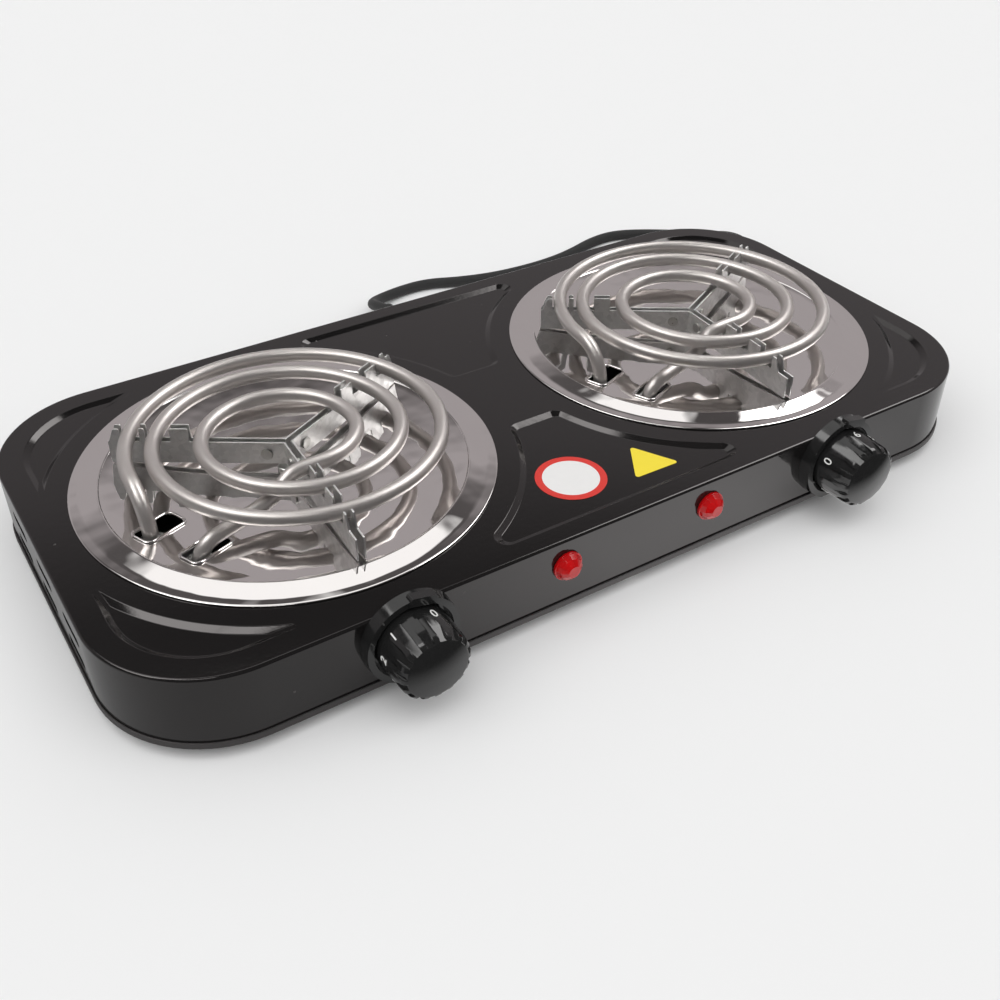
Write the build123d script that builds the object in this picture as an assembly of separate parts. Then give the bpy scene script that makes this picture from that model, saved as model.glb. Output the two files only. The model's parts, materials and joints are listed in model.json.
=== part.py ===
"""Twin coil hot plate: a pressed steel body with two chromed drip pans, two sheathed heating coils on
three-armed supports, two dials with their thermostats, two pilot lamps and a mains cord with its plug.

Millimetres. X runs along the body, Y from the dials to the back, Z up, with the table at Z = 0. Every
piece is modelled about the body's centre in plan and moved by BODY_SHIFT on export, which puts the origin
under the middle of the body with its dials.
"""
import math
import os

from build123d import *

# ---------------------------------------------------------------- body
BODY_LENGTH = 442.0
BODY_WIDTH = 215.0
CORNER_RADIUS = 51.0
WALL_HEIGHT = 35.3          # underside of the tray to the top plate
EDGE_RADIUS = 4.0           # round edge between the walls and the top plate
SHEET = 0.8                 # steel sheet of the cover
FOOT_HEIGHT = 6.0
TRAY_SHEET = 0.8
RIM_HEIGHT = 3.2            # turned-up rim of the tray, outside the cover
SEAT_GAP = 0.05             # left between pieces that rest on each other
LOOSE_GAP = 0.1             # left round screws and other loose fits

PLATE_Z = FOOT_HEIGHT + WALL_HEIGHT
FLOOR_Z = FOOT_HEIGHT + TRAY_SHEET
FRONT_Y = -BODY_WIDTH / 2
REAR_Y = BODY_WIDTH / 2

# ---------------------------------------------------------------- recessed panels of the top plate
PANEL_DEPTH = 1.6
PANEL_ARC = 102.0           # their hollow sides, round each burner
CORNER_PANEL_INSET = 11.0
CORNER_TIP_RADIUS = 1.5
MIDDLE_PANEL_INSET = 9.5
MIDDLE_PANEL_TOP = 25.0     # distance of its short side from the body's middle line
MIDDLE_TIP_RADIUS = 6.0

# ---------------------------------------------------------------- vents in the short sides
VENT_LENGTH = 21.0
VENT_HEIGHT = 4.5
VENT_PITCH = 37.0
VENT_COLUMNS = 3
VENT_SHIFT = -3.0
VENT_ROWS = (12.5, 24.0)    # heights above the tray's underside

# ---------------------------------------------------------------- tray, feet and their screws
FLOOR_SLOT_LENGTH = 44.0
FLOOR_SLOT_WIDTH = 4.0
FLOOR_SLOT_PITCH = 11.0
FLOOR_SLOTS = 6
FOOT_INSET = 38.0
FOOT_RADIUS = 9.0
FOOT_TAPER = 1.0
FOOT_RECESS_RADIUS = 4.4
FOOT_RECESS = 2.8
SCREW_RADIUS = 1.75
SCREW_HEAD_RADIUS = 3.2
SCREW_HEAD = 1.7
TAB_WIDTH = 14.0
TAB_DEPTH = 11.0
TAB_SPACING = 150.0
TAB_SCREW_LENGTH = 6.0

# ---------------------------------------------------------------- burners
BURNER_SPACING = 225.0
OPENING_RADIUS = 84.0
PAN_RADIUS = 92.0
PAN_SHEET = 0.8
TRIM_BEND_RADIUS = 87.8     # the trim ring lies flat outside this, and rises to its step inside it
TRIM_BEND_HEIGHT = 0.95
TRIM_STEP_RADIUS = 79.6
TRIM_STEP_HEIGHT = 2.2
BOWL_RADIUS = 79.0
BOWL_RIM_HEIGHT = 1.7
BOWL_DEPTH = 2.0

# ---------------------------------------------------------------- heating coil
TUBE_RADIUS = 3.3
COIL_HEIGHT = 16.0          # tube centre above the top plate
COIL_START = -66.0
HALF_TURNS = (67.5, 62.0, 53.3, 43.2, 33.4)     # radius of each half turn, from the outside in
INNER_TURN_RADIUS = 26.5
OUTER_LEG_ANGLE = 178.0     # where the outer half turn leaves its circle for the leg
OUTER_LEG_RUN = 17.5
OUTER_LEG_BEND = 17.0
INNER_LEG = (-55.0, -37.5)
INNER_LEAD_LENGTH = 14.0    # straight run out of the innermost turn
LEAD_CORNER_X = -20.5       # where the inner lead has dived under the turns
LEAD_CORNER_Y = -30.0
LEAD_CORNER_HEIGHT = 8.4    # over the top plate
LEAD_END = 3.5              # height over the top plate at which it turns down
LEAD_BENDS = (12.0, 12.0, 9.0)
LEG_END_Z = 17.0
HOLE_LENGTH = 20.0          # the bowl's two holes for the legs lie side by side
HOLE_WIDTH = 10.5
HOLE_CORNER = 2.5
HOLE_SHIFT = 4.5            # from a leg inwards to the middle of its hole
HOLE_LIP = 1.0
HOLE_LIP_RISE = 0.7

# ---------------------------------------------------------------- coil supports
ARM_ANGLES = (147.0, 27.0, -93.0)
HUB_X = 1.5                 # the arms meet this far from the burner's middle
ARM_REACH = 77.0
ARM_SHEET = 0.8
ARM_GAP = 2.6               # between the two sheets of an arm
ARM_LOWER_EDGE = 1.9
TAB_RISE = 19.4
END_TAB_RISE = 19.0
END_TAB_TOP = 2.5
END_TAB_BASE = 5.0
TURN_CLEARANCE = 1.3
END_TAB_CLEARANCE = 0.6
NARROWEST_TAB = 2.0
WIDEST_TAB = 8.0
RIVET_RADIUS = 1.4
RIVET_HEAD_RADIUS = 2.6
RIVET_HEAD = 1.0
RIVET_REACH = 9.0
RIVET_HEIGHT = 7.0

# ---------------------------------------------------------------- burner fixings inside the body
STRAP_WIDTH = 14.0
STRAP_SHEET = 1.6
STRAP_LIP = 6.0
STRAP_REACH = 88.5
BOLT_RADIUS = 2.0
BOLT_HEAD_RADIUS = 4.2
BOLT_HEAD = 2.4
NUT_FLATS = 7.0
NUT_HEIGHT = 3.2
LEG_PLATE_SHEET = 1.5
LEG_PLATE_MARGIN = 4.0
PIN_RADIUS = 1.2
PIN_LENGTH = 7.0
INSULATOR_LENGTH = 3.0

# ---------------------------------------------------------------- dials
DIAL_X = 112.3
DIAL_HEIGHT = 21.9          # axis above the tray's underside
KNOB_FRONT = 25.2           # crown of its domed face to the body's front wall
KNOB_BACK = 4.0
KNOB_RADIUS = 15.9
KNOB_FRONT_RADIUS = 15.1
KNOB_WALL = 2.2
KNOB_FACE = 4.2
KNOB_CROWN_RADIUS = 53.0    # of the domed face
KNOB_EDGE = 2.4
GRIP_NOTCHES = 16
GRIP_NOTCH_WIDTH = 3.0
GRIP_NOTCH_DEPTH = 1.1
GRIP_LENGTH = 10.8          # back from the crown
BOSS_RADIUS = 5.4
BOSS_BACK = 8.0
SHAFT_RADIUS = 3.0
SHAFT_FLAT = 1.6            # distance of the flat from the shaft's axis
SHAFT_FLAT_LENGTH = 10.0
SHAFT_FRONT = 17.0
SHAFT_BACK = 10.0
RUNNING_CLEARANCE = 0.05
BEZEL_RADIUS = 20.5
BEZEL_FRONT_RADIUS = 20.0
BEZEL_BORE = 17.3
BEZEL_HEIGHT = 5.6
BEZEL_FLOOR = 1.6
BEZEL_HOLE = 4.0
POINTER_ANGLE = 77.0
POINTER_WIDTH = 11.5
POINTER_REACH = 21.2
POINTER_FRONT = 6.6
POINTER_DEPTH = 4.0
POINTER_ROUND = 1.0

# ---------------------------------------------------------------- thermostats
BRACKET_WIDTH = 30.0
BRACKET_HEIGHT = 18.0
BRACKET_SHEET = 1.2
THERMOSTAT_WIDTH = 24.0
THERMOSTAT_DEPTH = 12.0
THERMOSTAT_HEIGHT = 18.0
DIAL_SCREW_SPACING = 21.0
DIAL_SCREW_RADIUS = 1.5
DIAL_SCREW_HEAD_RADIUS = 2.7
DIAL_SCREW_HEAD = 1.5
DIAL_SCREW_LENGTH = 7.0

# ---------------------------------------------------------------- pilot lamps
LAMP_X = 38.0
LAMP_HEIGHT = 22.0
LENS_RADIUS = 6.8
LENS_LENGTH = 5.6
LENS_FLANGE = 1.2
LENS_FACETS = 12
LENS_RINGS = ((0.0, 0.95), (0.55, 0.78), (1.0, 0.42))   # height and radius of each ring of facets, as shares
LENS_STEM = 2.0             # stem behind the front wall's sheet
LENS_STEM_RADIUS = 4.9
LENS_WALL = 1.3
LAMP_HOUSING_RADIUS = 6.2
LAMP_HOUSING_LENGTH = 13.0
BULB_RADIUS = 2.6
BULB_LENGTH = 9.0

# ---------------------------------------------------------------- mains terminals and wiring
BLOCK_SIZE = (34.0, 18.0, 12.0)
BLOCK_INSET = 33.5          # from the rear wall to the middle of the terminal block
BLOCK_POLES = 3
BLOCK_POLE_PITCH = 10.0
BLOCK_SCREW_RADIUS = 2.2
BLOCK_SCREW_DEPTH = 4.0
BLOCK_SCREW_HEIGHT = 2.2
BLOCK_SCREW_SLOT = 0.6
EARTH_X = 38.0
EARTH_INSET = 41.5
EARTH_SCREW_LENGTH = 6.0
WIRE_RADIUS = 1.3
WIRE_BEND = 4.0
WIRE_RUN = 8.0              # straight run out of a terminal
WIRE_SPREAD = 1.6           # two leads that share a pole lie this far to each side of it
CORE_SPREAD = 3.0
LINK_DROP = 20.0            # the link to the coil turns this far in front of the inner leg
RETURN_RUN = 34.0           # the coils' return leads cross this far in front of the block's middle

# ---------------------------------------------------------------- cord
CORD_RADIUS = 3.1
GLAND_X = 10.0
GLAND_HEIGHT = 14.0         # axis above the tray's underside
GLAND_LENGTH = 31.8
GLAND_RADIUS = 6.2
GLAND_TIP_RADIUS = 4.3
GLAND_COLLAR = 7.6
GLAND_COLLAR_LENGTH = 2.4
GLAND_GROOVES = 6
GLAND_GROOVE_WIDTH = 1.5
GLAND_GROOVE_DEPTH = 1.0
CORD_ROUTE = (              # each point's x, distance behind the rear wall, and height
    (10.0, 42.5, 17.8), (12.5, 58.0, 11.6), (23.0, 71.0, 5.6), (41.0, 78.5, 3.2), (61.0, 79.0, 3.2),
    (80.0, 70.5, 3.2), (100.0, 64.7, 3.2), (122.0, 62.3, 3.2), (145.0, 62.7, 3.2), (165.0, 66.5, 3.2),
    (185.0, 73.3, 3.2), (204.0, 74.7, 3.2), (221.0, 67.0, 3.2), (238.0, 55.0, 3.4),
)
COIL_OFFSET = (10.5, 17.0)  # the coil's middle from the body's rear right corner
COIL_OUTER_TURN = 33.5
COIL_INNER_TURN = 27.0
COIL_ENTRY_ANGLE = 50.0
TAIL_ROUTE = (              # from the same corner
    (28.2, 38.1, 4.6), (35.9, 29.9, 7.8), (40.6, 19.1, 9.8), (40.5, 7.3, 10.2), (38.5, -4.1, 10.3),
    (36.0, -15.7, 7.6), (31.0, -27.0, 4.4), (24.0, -37.0, 4.2), (18.0, -46.5, 7.6),
)
TIE_THICKNESS = 0.8
TIE_WIDTH = 3.6
TIE_ANGLE = 200.0
PLUG_OFFSET = (16.0, -55.5)  # end of the plug's neck, where the cord goes in, from the same corner
PLUG_NECK = 12.0
PLUG_NECK_RADIUS = 5.4
PLUG_TAPER = 12.0
PLUG_LENGTH = 22.0          # straight stretch between the taper and the face
PLUG_WIDTH = 24.0
PLUG_HEIGHT = 20.0
PLUG_ROUND = 5.0
BLADE_LENGTH = 16.0
BLADE_DEPTH = 5.0           # how far the blades sit in the plug
BLADE_WIDTH = 6.3
BLADE_THICKNESS = 1.5
BLADE_SPACING = 12.7
BLADE_RISE = 3.0            # blades above the plug's axis, the earth pin as far below it
EARTH_PIN_RADIUS = 2.4
PLUG_EDGE = 1.5

# ---------------------------------------------------------------- decals
DECAL_SHEET = 0.15
ROUND_DECAL_RADIUS = 15.8
ROUND_DECAL_PLACE = (-11.4, -71.8)
TRIANGLE_SIDE = 23.8
TRIANGLE_CORNER = 1.2
TRIANGLE_PLACE = (24.4, -80.3)
TRIANGLE_TURN = -1.2

# ---------------------------------------------------------------- derived places
COIL_Z = PLATE_Z + COIL_HEIGHT
OUTER_LEG_TURN = math.radians(OUTER_LEG_ANGLE)
OUTER_LEG = (
    COIL_START + HALF_TURNS[0] * (1 + math.cos(OUTER_LEG_TURN)) - OUTER_LEG_RUN * math.sin(OUTER_LEG_TURN),
    HALF_TURNS[0] * math.sin(OUTER_LEG_TURN) + OUTER_LEG_RUN * math.cos(OUTER_LEG_TURN),
)
DIAL_Z = FOOT_HEIGHT + DIAL_HEIGHT
LAMP_Z = FOOT_HEIGHT + LAMP_HEIGHT
GLAND_Z = FOOT_HEIGHT + GLAND_HEIGHT
BLOCK_PLACE = (GLAND_X, REAR_Y - BLOCK_INSET)
EARTH_PLACE = (EARTH_X, REAR_Y - EARTH_INSET)
RETURN_Y = BLOCK_PLACE[1] - RETURN_RUN
COIL_PLACE = (BODY_LENGTH / 2 + COIL_OFFSET[0], REAR_Y + COIL_OFFSET[1])
PLUG_X = BODY_LENGTH / 2 + PLUG_OFFSET[0]
PLUG_NECK_END = REAR_Y + PLUG_OFFSET[1]
BODY_SHIFT = (KNOB_FRONT - GLAND_LENGTH) / 2
PANEL_Z = PLATE_Z - PANEL_DEPTH
SIDES = {"left": -1, "right": 1}


def moved(shape, x=0.0, y=0.0, z=0.0):
    """The shape, shifted."""
    return Pos(x, y, z) * shape


def group(shapes):
    """Several separate solids as one node."""
    return Compound(children=[solid for shape in shapes for solid in shape.solids()])


def cylinder(x, y, low, high, radius):
    """An upright cylinder between two heights."""
    return extrude(Plane.XY.offset(low) * Pos(x, y) * Circle(radius), high - low)


def rod(x, z, front, back, radius):
    """A cylinder along Y from distance `front` to `back`, both measured outwards from the front wall."""
    plane = Plane(origin=(x, FRONT_Y - front, z), x_dir=(1, 0, 0), z_dir=(0, 1, 0))
    return extrude(plane * Circle(radius), front - back)


def rounded_block(length, width, radius, low, high):
    """An upright block with a rounded rectangle as its plan."""
    return extrude(Plane.XY.offset(low) * RectangleRounded(length, width, radius), high - low)


def tube(points, radii, radius):
    """A round bar along straight runs joined by arcs."""
    path = Wire(FilletPolyline(*points, radius=radii).edges())
    plane = Plane(origin=path @ 0, z_dir=path % 0)
    return sweep(plane * Circle(radius), path=path)


def screw(x, y, head_top, length, head_radius, head, radius):
    """A pan-head screw driven upwards: its head hangs under `head_top`."""
    return cylinder(x, y, head_top - head, head_top, head_radius) + cylinder(
        x, y, head_top, head_top + length, radius)


# ================================================================ body
def rounded_tips(outline, radius):
    """The outline with its outward corners rounded."""
    return offset(offset(outline, -radius, kind=Kind.INTERSECTION), radius, kind=Kind.ARC)


def corner_panel_outline():
    """Plan of the recessed panel in the front right corner."""
    length = BODY_LENGTH - 2 * CORNER_PANEL_INSET
    width = BODY_WIDTH - 2 * CORNER_PANEL_INSET
    quarter = Pos(length / 2, -width / 2) * Rectangle(length / 2, width)
    outline = RectangleRounded(length, width, CORNER_RADIUS - CORNER_PANEL_INSET) & quarter
    outline -= Pos(BURNER_SPACING / 2, 0) * Circle(PANEL_ARC)
    return rounded_tips(outline.faces().sort_by(Axis.X)[-1], CORNER_TIP_RADIUS)


def middle_panel_outline():
    """Plan of the recessed panel between the burners, in front."""
    far = BODY_WIDTH / 2 - MIDDLE_PANEL_INSET
    outline = Pos(0, -(MIDDLE_PANEL_TOP + far) / 2) * Rectangle(BURNER_SPACING, far - MIDDLE_PANEL_TOP)
    for side in SIDES.values():
        outline -= Pos(side * BURNER_SPACING / 2, 0) * Circle(PANEL_ARC)
    return rounded_tips(outline, MIDDLE_TIP_RADIUS)


def panel_blocks(top, depth, margin):
    """Blocks under `top` in the plan of all six panels, grown by `margin`."""
    outlines = [corner_panel_outline(), middle_panel_outline()]
    if margin:
        outlines = [offset(outline, margin, kind=Kind.ARC) for outline in outlines]
    corner, middle = [extrude(Plane.XY.offset(top - depth) * outline, depth) for outline in outlines]
    blocks = [corner, mirror(corner, Plane.YZ), middle]
    return blocks + [mirror(block, Plane.XZ) for block in blocks]


def vent_cuts():
    """Long holes in both short sides."""
    cuts = []
    for row in VENT_ROWS:
        for column in range(VENT_COLUMNS):
            y = VENT_SHIFT + (column - (VENT_COLUMNS - 1) / 2) * VENT_PITCH
            plane = Plane(origin=(-BODY_LENGTH, y, FOOT_HEIGHT + row), x_dir=(0, 1, 0), z_dir=(1, 0, 0))
            cuts.append(extrude(plane * SlotOverall(VENT_LENGTH, VENT_HEIGHT), 2 * BODY_LENGTH))
    return cuts


def tab_places():
    """Where the tray is screwed to the cover: x, y and the side of the body."""
    inner = BODY_WIDTH / 2 - SHEET - TAB_DEPTH / 2
    return [(x, side * inner) for x in (-TAB_SPACING, 0.0, TAB_SPACING) for side in (-1, 1)]


def body_shell():
    """The pressed cover: top plate, walls, recessed panels and every opening."""
    low = FLOOR_Z + SEAT_GAP
    outer = rounded_block(BODY_LENGTH, BODY_WIDTH, CORNER_RADIUS, low, PLATE_Z)
    outer = fillet(outer.faces().sort_by(Axis.Z)[-1].edges(), EDGE_RADIUS)
    under = PLATE_Z - SHEET
    inner = rounded_block(BODY_LENGTH - 2 * SHEET, BODY_WIDTH - 2 * SHEET, CORNER_RADIUS - SHEET, low, under)
    inner = fillet(inner.faces().sort_by(Axis.Z)[-1].edges(), EDGE_RADIUS - SHEET)
    for block in panel_blocks(under, PANEL_DEPTH, SHEET):
        inner -= block
    shell = outer - inner
    for block in panel_blocks(PLATE_Z, PANEL_DEPTH, 0.0):
        shell -= block
    for x, y in tab_places():
        shell += moved(Box(TAB_WIDTH, TAB_DEPTH + SHEET, SHEET), x, y + math.copysign(SHEET / 2, y),
                       low + SHEET / 2)
        shell -= cylinder(x, y, low - 1, low + SHEET + 1, SCREW_RADIUS + LOOSE_GAP)
    for side in SIDES.values():
        shell -= cylinder(side * BURNER_SPACING / 2, 0, under - 1, PLATE_Z + 1, OPENING_RADIUS)
        shell -= rod(side * DIAL_X, DIAL_Z, 1, -SHEET - 1, BEZEL_HOLE)
        shell -= rod(side * LAMP_X, LAMP_Z, 1, -SHEET - 1, LENS_STEM_RADIUS + LOOSE_GAP)
        for step in (-0.5, 0.5):
            shell -= rod(side * DIAL_X + step * DIAL_SCREW_SPACING, DIAL_Z, 1, -SHEET - 1,
                         DIAL_SCREW_RADIUS + LOOSE_GAP)
    for cut in vent_cuts():
        shell -= cut
    shell -= rod(GLAND_X, GLAND_Z, -BODY_WIDTH + SHEET + 1, -BODY_WIDTH - 1, GLAND_RADIUS + LOOSE_GAP)
    return shell


def foot_places():
    """Plan of the four feet."""
    x = BODY_LENGTH / 2 - FOOT_INSET
    y = BODY_WIDTH / 2 - FOOT_INSET
    return [(i * x, j * y) for i in (-1, 1) for j in (-1, 1)]


def base_plate():
    """The tray: floor with air slots under each burner and a rim that stands outside the cover."""
    grow = 2 * (SEAT_GAP + TRAY_SHEET)
    outer = rounded_block(BODY_LENGTH + grow, BODY_WIDTH + grow, CORNER_RADIUS + grow / 2, FOOT_HEIGHT,
                          FOOT_HEIGHT + RIM_HEIGHT)
    grow = 2 * SEAT_GAP
    tray = outer - rounded_block(BODY_LENGTH + grow, BODY_WIDTH + grow, CORNER_RADIUS + grow / 2, FLOOR_Z,
                                 FOOT_HEIGHT + RIM_HEIGHT + 1)
    holes = [(x, y) for x, y in tab_places() + foot_places()] + [EARTH_PLACE]
    for x, y in holes:
        tray -= cylinder(x, y, FOOT_HEIGHT - 1, FLOOR_Z + 1, SCREW_RADIUS + LOOSE_GAP)
    for side in SIDES.values():
        for row in range(FLOOR_SLOTS):
            y = (row - (FLOOR_SLOTS - 1) / 2) * FLOOR_SLOT_PITCH
            slot = SlotOverall(FLOOR_SLOT_LENGTH, FLOOR_SLOT_WIDTH)
            tray -= extrude(Plane.XY.offset(FOOT_HEIGHT - 1) * Pos(side * BURNER_SPACING / 2, y) * slot,
                            TRAY_SHEET + 2)
    return tray


def base_screws():
    """Screws through the tray into the cover's tabs."""
    return group(screw(x, y, FOOT_HEIGHT, TAB_SCREW_LENGTH, SCREW_HEAD_RADIUS, SCREW_HEAD, SCREW_RADIUS)
                 for x, y in tab_places())


def foot_pads():
    """Tapered rubber feet with a recess for the screw head."""
    feet = []
    for x, y in foot_places():
        profile = make_face(Polyline((SCREW_RADIUS + LOOSE_GAP, FOOT_HEIGHT), (FOOT_RADIUS, FOOT_HEIGHT),
                                     (FOOT_RADIUS - FOOT_TAPER, 0), (FOOT_RECESS_RADIUS, 0),
                                     (FOOT_RECESS_RADIUS, FOOT_RECESS),
                                     (SCREW_RADIUS + LOOSE_GAP, FOOT_RECESS), close=True))
        feet.append(moved(revolve(Plane.XZ * profile, Axis.Z), x, y))
    return group(feet)


def foot_screws():
    """A screw up through each foot into the tray."""
    length = FOOT_HEIGHT - FOOT_RECESS + TRAY_SHEET + 2
    return group(screw(x, y, FOOT_RECESS, length, SCREW_HEAD_RADIUS, SCREW_HEAD, SCREW_RADIUS)
                 for x, y in foot_places())


# ================================================================ burner
def bowl_height(distance):
    """Height of the bowl's upper face over the top plate, at a distance from the burner's centre."""
    return (BOWL_RIM_HEIGHT + BOWL_DEPTH) * (distance / BOWL_RADIUS) ** 2 - BOWL_DEPTH


def bowl_curve(lift):
    """The bowl's section from its rim to its middle, lifted."""
    return ThreePointArc((BOWL_RADIUS, BOWL_RIM_HEIGHT + lift),
                         (BOWL_RADIUS / 2, bowl_height(BOWL_RADIUS / 2) + lift), (0, lift - BOWL_DEPTH))


def turned_sheet(top, thickness):
    """A round sheet from its upper section, given from the rim inwards to the middle."""
    under = [Pos(0, -thickness) * edge for edge in top]
    ends = [Line(top[0] @ 0, under[0] @ 0), Line(top[-1] @ 1, under[-1] @ 1)]
    profile = make_face([edge for line in top + under + ends for edge in line.edges()])
    return moved(revolve(Plane.XZ * profile, Axis.Z), z=PLATE_Z)


def leg_holes(margin):
    """Upright cutters for the bowl's two holes, grown by `margin`."""
    angle = math.radians(strap_angle())
    cuts = []
    for x, y in (OUTER_LEG, INNER_LEG):
        place = Pos(x - HOLE_SHIFT * math.cos(angle), y - HOLE_SHIFT * math.sin(angle))
        hole = place * Rot(0, 0, strap_angle()) * RectangleRounded(
            HOLE_LENGTH + 2 * margin, HOLE_WIDTH + 2 * margin, HOLE_CORNER + margin)
        cuts.append(extrude(Plane.XY.offset(PLATE_Z - 2 * BOWL_DEPTH) * hole, 4 * BOWL_DEPTH))
    return cuts


def drip_pan():
    """Chromed dish: trim ring rising from its flat lip, a step, the shallow bowl and the lips of its holes."""
    trim = Polyline((PAN_RADIUS, SEAT_GAP + PAN_SHEET), (TRIM_BEND_RADIUS, TRIM_BEND_HEIGHT),
                    (TRIM_STEP_RADIUS, TRIM_STEP_HEIGHT), (BOWL_RADIUS, BOWL_RIM_HEIGHT))
    pan = turned_sheet([*trim.edges(), bowl_curve(0).edge()], PAN_SHEET)
    lips = turned_sheet([bowl_curve(HOLE_LIP_RISE).edge()], PAN_SHEET + HOLE_LIP_RISE)
    for block in leg_holes(HOLE_LIP):
        pan += lips & block
    for cut in leg_holes(0.0):
        pan -= cut
    return pan - cylinder(0, 0, PLATE_Z - 2 * BOWL_DEPTH, PLATE_Z, BOLT_RADIUS + LOOSE_GAP)


def half_turns():
    """The coil's half turns as (centre x, radius, sign), the sign being 1 behind the burner's middle."""
    turns = []
    x = COIL_START
    sign = 1
    for radius in HALF_TURNS + (INNER_TURN_RADIUS,):
        turns.append((x + sign * radius, radius, sign))
        x += 2 * sign * radius
        sign = -sign
    return turns


def turn_radii(angle):
    """Distances from the supports' hub at which the coil crosses a ray."""
    cos, sin = math.cos(math.radians(angle)), math.sin(math.radians(angle))
    return sorted((x - HUB_X) * cos + math.sqrt(radius ** 2 - ((x - HUB_X) * sin) ** 2)
                  for x, radius, sign in half_turns() if sign * sin > 0)


def heating_coil():
    """The sheathed tube: outer leg, half turns of falling radius, inner lead and inner leg."""
    turns = half_turns()
    arcs = []
    for index, (x, radius, sign) in enumerate(turns):
        start = 180.0 if sign > 0 else 0.0
        end = start - 180.0
        if index == 0:
            start = OUTER_LEG_ANGLE
        if index == len(turns) - 1:
            end = start - 90.0
        arcs.append(CenterArc((x, 0, COIL_Z), radius, start, end - start).edge())
    outer = FilletPolyline((*OUTER_LEG, LEG_END_Z), (*OUTER_LEG, COIL_Z), arcs[0] @ 0, radius=[OUTER_LEG_BEND])
    end = arcs[-1] @ 1
    dive = (LEAD_CORNER_X, LEAD_CORNER_Y, PLATE_Z + LEAD_CORNER_HEIGHT)
    inner = FilletPolyline(end, end - Vector(INNER_LEAD_LENGTH, 0, 0), dive, (*INNER_LEG, PLATE_Z + LEAD_END),
                           (*INNER_LEG, LEG_END_Z), radius=LEAD_BENDS)
    path = Wire([*outer.edges(), *arcs, *inner.edges()])
    plane = Plane(origin=(*OUTER_LEG, LEG_END_Z), z_dir=(0, 0, 1))
    return sweep(plane * Circle(TUBE_RADIUS), path=path)


def arm_profile(angle, start):
    """Side view of one arm, distance against height over the top plate."""
    under = COIL_HEIGHT - TUBE_RADIUS - SEAT_GAP
    crossings = turn_radii(angle)
    points = [(start, ARM_LOWER_EDGE), (start, under)]
    clear = TUBE_RADIUS + TURN_CLEARANCE
    for near, far in zip(crossings, crossings[1:]):
        width = min(far - near - 2 * clear, WIDEST_TAB)
        if width > NARROWEST_TAB:
            middle = (near + far) / 2
            points += [(middle - width / 2, under), (middle - width / 2, TAB_RISE),
                       (middle + width / 2, TAB_RISE), (middle + width / 2, under)]
    outside = crossings[-1] + TUBE_RADIUS + END_TAB_CLEARANCE
    points += [(outside, under), (outside, END_TAB_RISE), (outside + END_TAB_TOP, END_TAB_RISE),
               (outside + END_TAB_BASE, under), (ARM_REACH, under), (ARM_REACH, ARM_LOWER_EDGE)]
    return make_face(Polyline(*points, close=True))


def rivet_hole():
    """Cutter for a rivet's hole through one sheet."""
    return Pos(RIVET_REACH, 0, RIVET_HEIGHT) * Rot(90, 0, 0) * Cylinder(RIVET_RADIUS + SEAT_GAP, 2 * ARM_SHEET)


def coil_supports():
    """Three bent strips; the legs of two neighbours run side by side in each arm."""
    strips = []
    inset = ARM_GAP / 2
    start = inset / math.tan(math.radians(60))
    for first, second in ((0, 1), (1, 2), (2, 0)):
        strip = None
        for arm, side in ((first, -1), (second, 1)):
            face = Plane.XZ * arm_profile(ARM_ANGLES[arm], start)
            leg = extrude(face, ARM_SHEET / 2, both=True)
            leg = Pos(0, side * (inset + ARM_SHEET / 2), 0) * (leg - rivet_hole())
            leg = Pos(HUB_X, 0, PLATE_Z) * Rot(0, 0, ARM_ANGLES[arm]) * leg
            strip = leg if strip is None else strip + leg
        strips.append(strip)
    return group(strips)


def support_rivets():
    """One rivet across the two sheets of each arm."""
    rivets = []
    half = ARM_GAP / 2 + ARM_SHEET
    for angle in ARM_ANGLES:
        parts = Cylinder(RIVET_RADIUS, 2 * half)
        for side in (-1, 1):
            parts += Pos(0, 0, side * (half + RIVET_HEAD / 2)) * Cylinder(RIVET_HEAD_RADIUS, RIVET_HEAD)
        place = Pos(HUB_X, 0, PLATE_Z + RIVET_HEIGHT) * Rot(0, 0, angle) * Pos(RIVET_REACH, 0, 0)
        rivets.append(place * Rot(90, 0, 0) * parts)
    return group(rivets)


def terminal_insulators():
    """Ceramic rings under the cold ends of the coil."""
    rings = [cylinder(x, y, LEG_END_Z - SEAT_GAP - INSULATOR_LENGTH, LEG_END_Z - SEAT_GAP, TUBE_RADIUS)
             - cylinder(x, y, 0, LEG_END_Z, PIN_RADIUS + SEAT_GAP) for x, y in (OUTER_LEG, INNER_LEG)]
    return group(rings)


def terminal_pins():
    """Terminal pins that carry the supply leads."""
    return group(cylinder(x, y, LEG_END_Z - SEAT_GAP - PIN_LENGTH, LEG_END_Z - SEAT_GAP, PIN_RADIUS)
                 for x, y in (OUTER_LEG, INNER_LEG))


def strap_top():
    """Top of the strap, which bears on the bowl's middle from below."""
    return PLATE_Z - BOWL_DEPTH - PAN_SHEET - SEAT_GAP


def strap_angle():
    """Direction of the strap: between the coil's two legs."""
    return math.degrees(math.atan2(OUTER_LEG[1] + INNER_LEG[1], OUTER_LEG[0] + INNER_LEG[0]))


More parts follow.
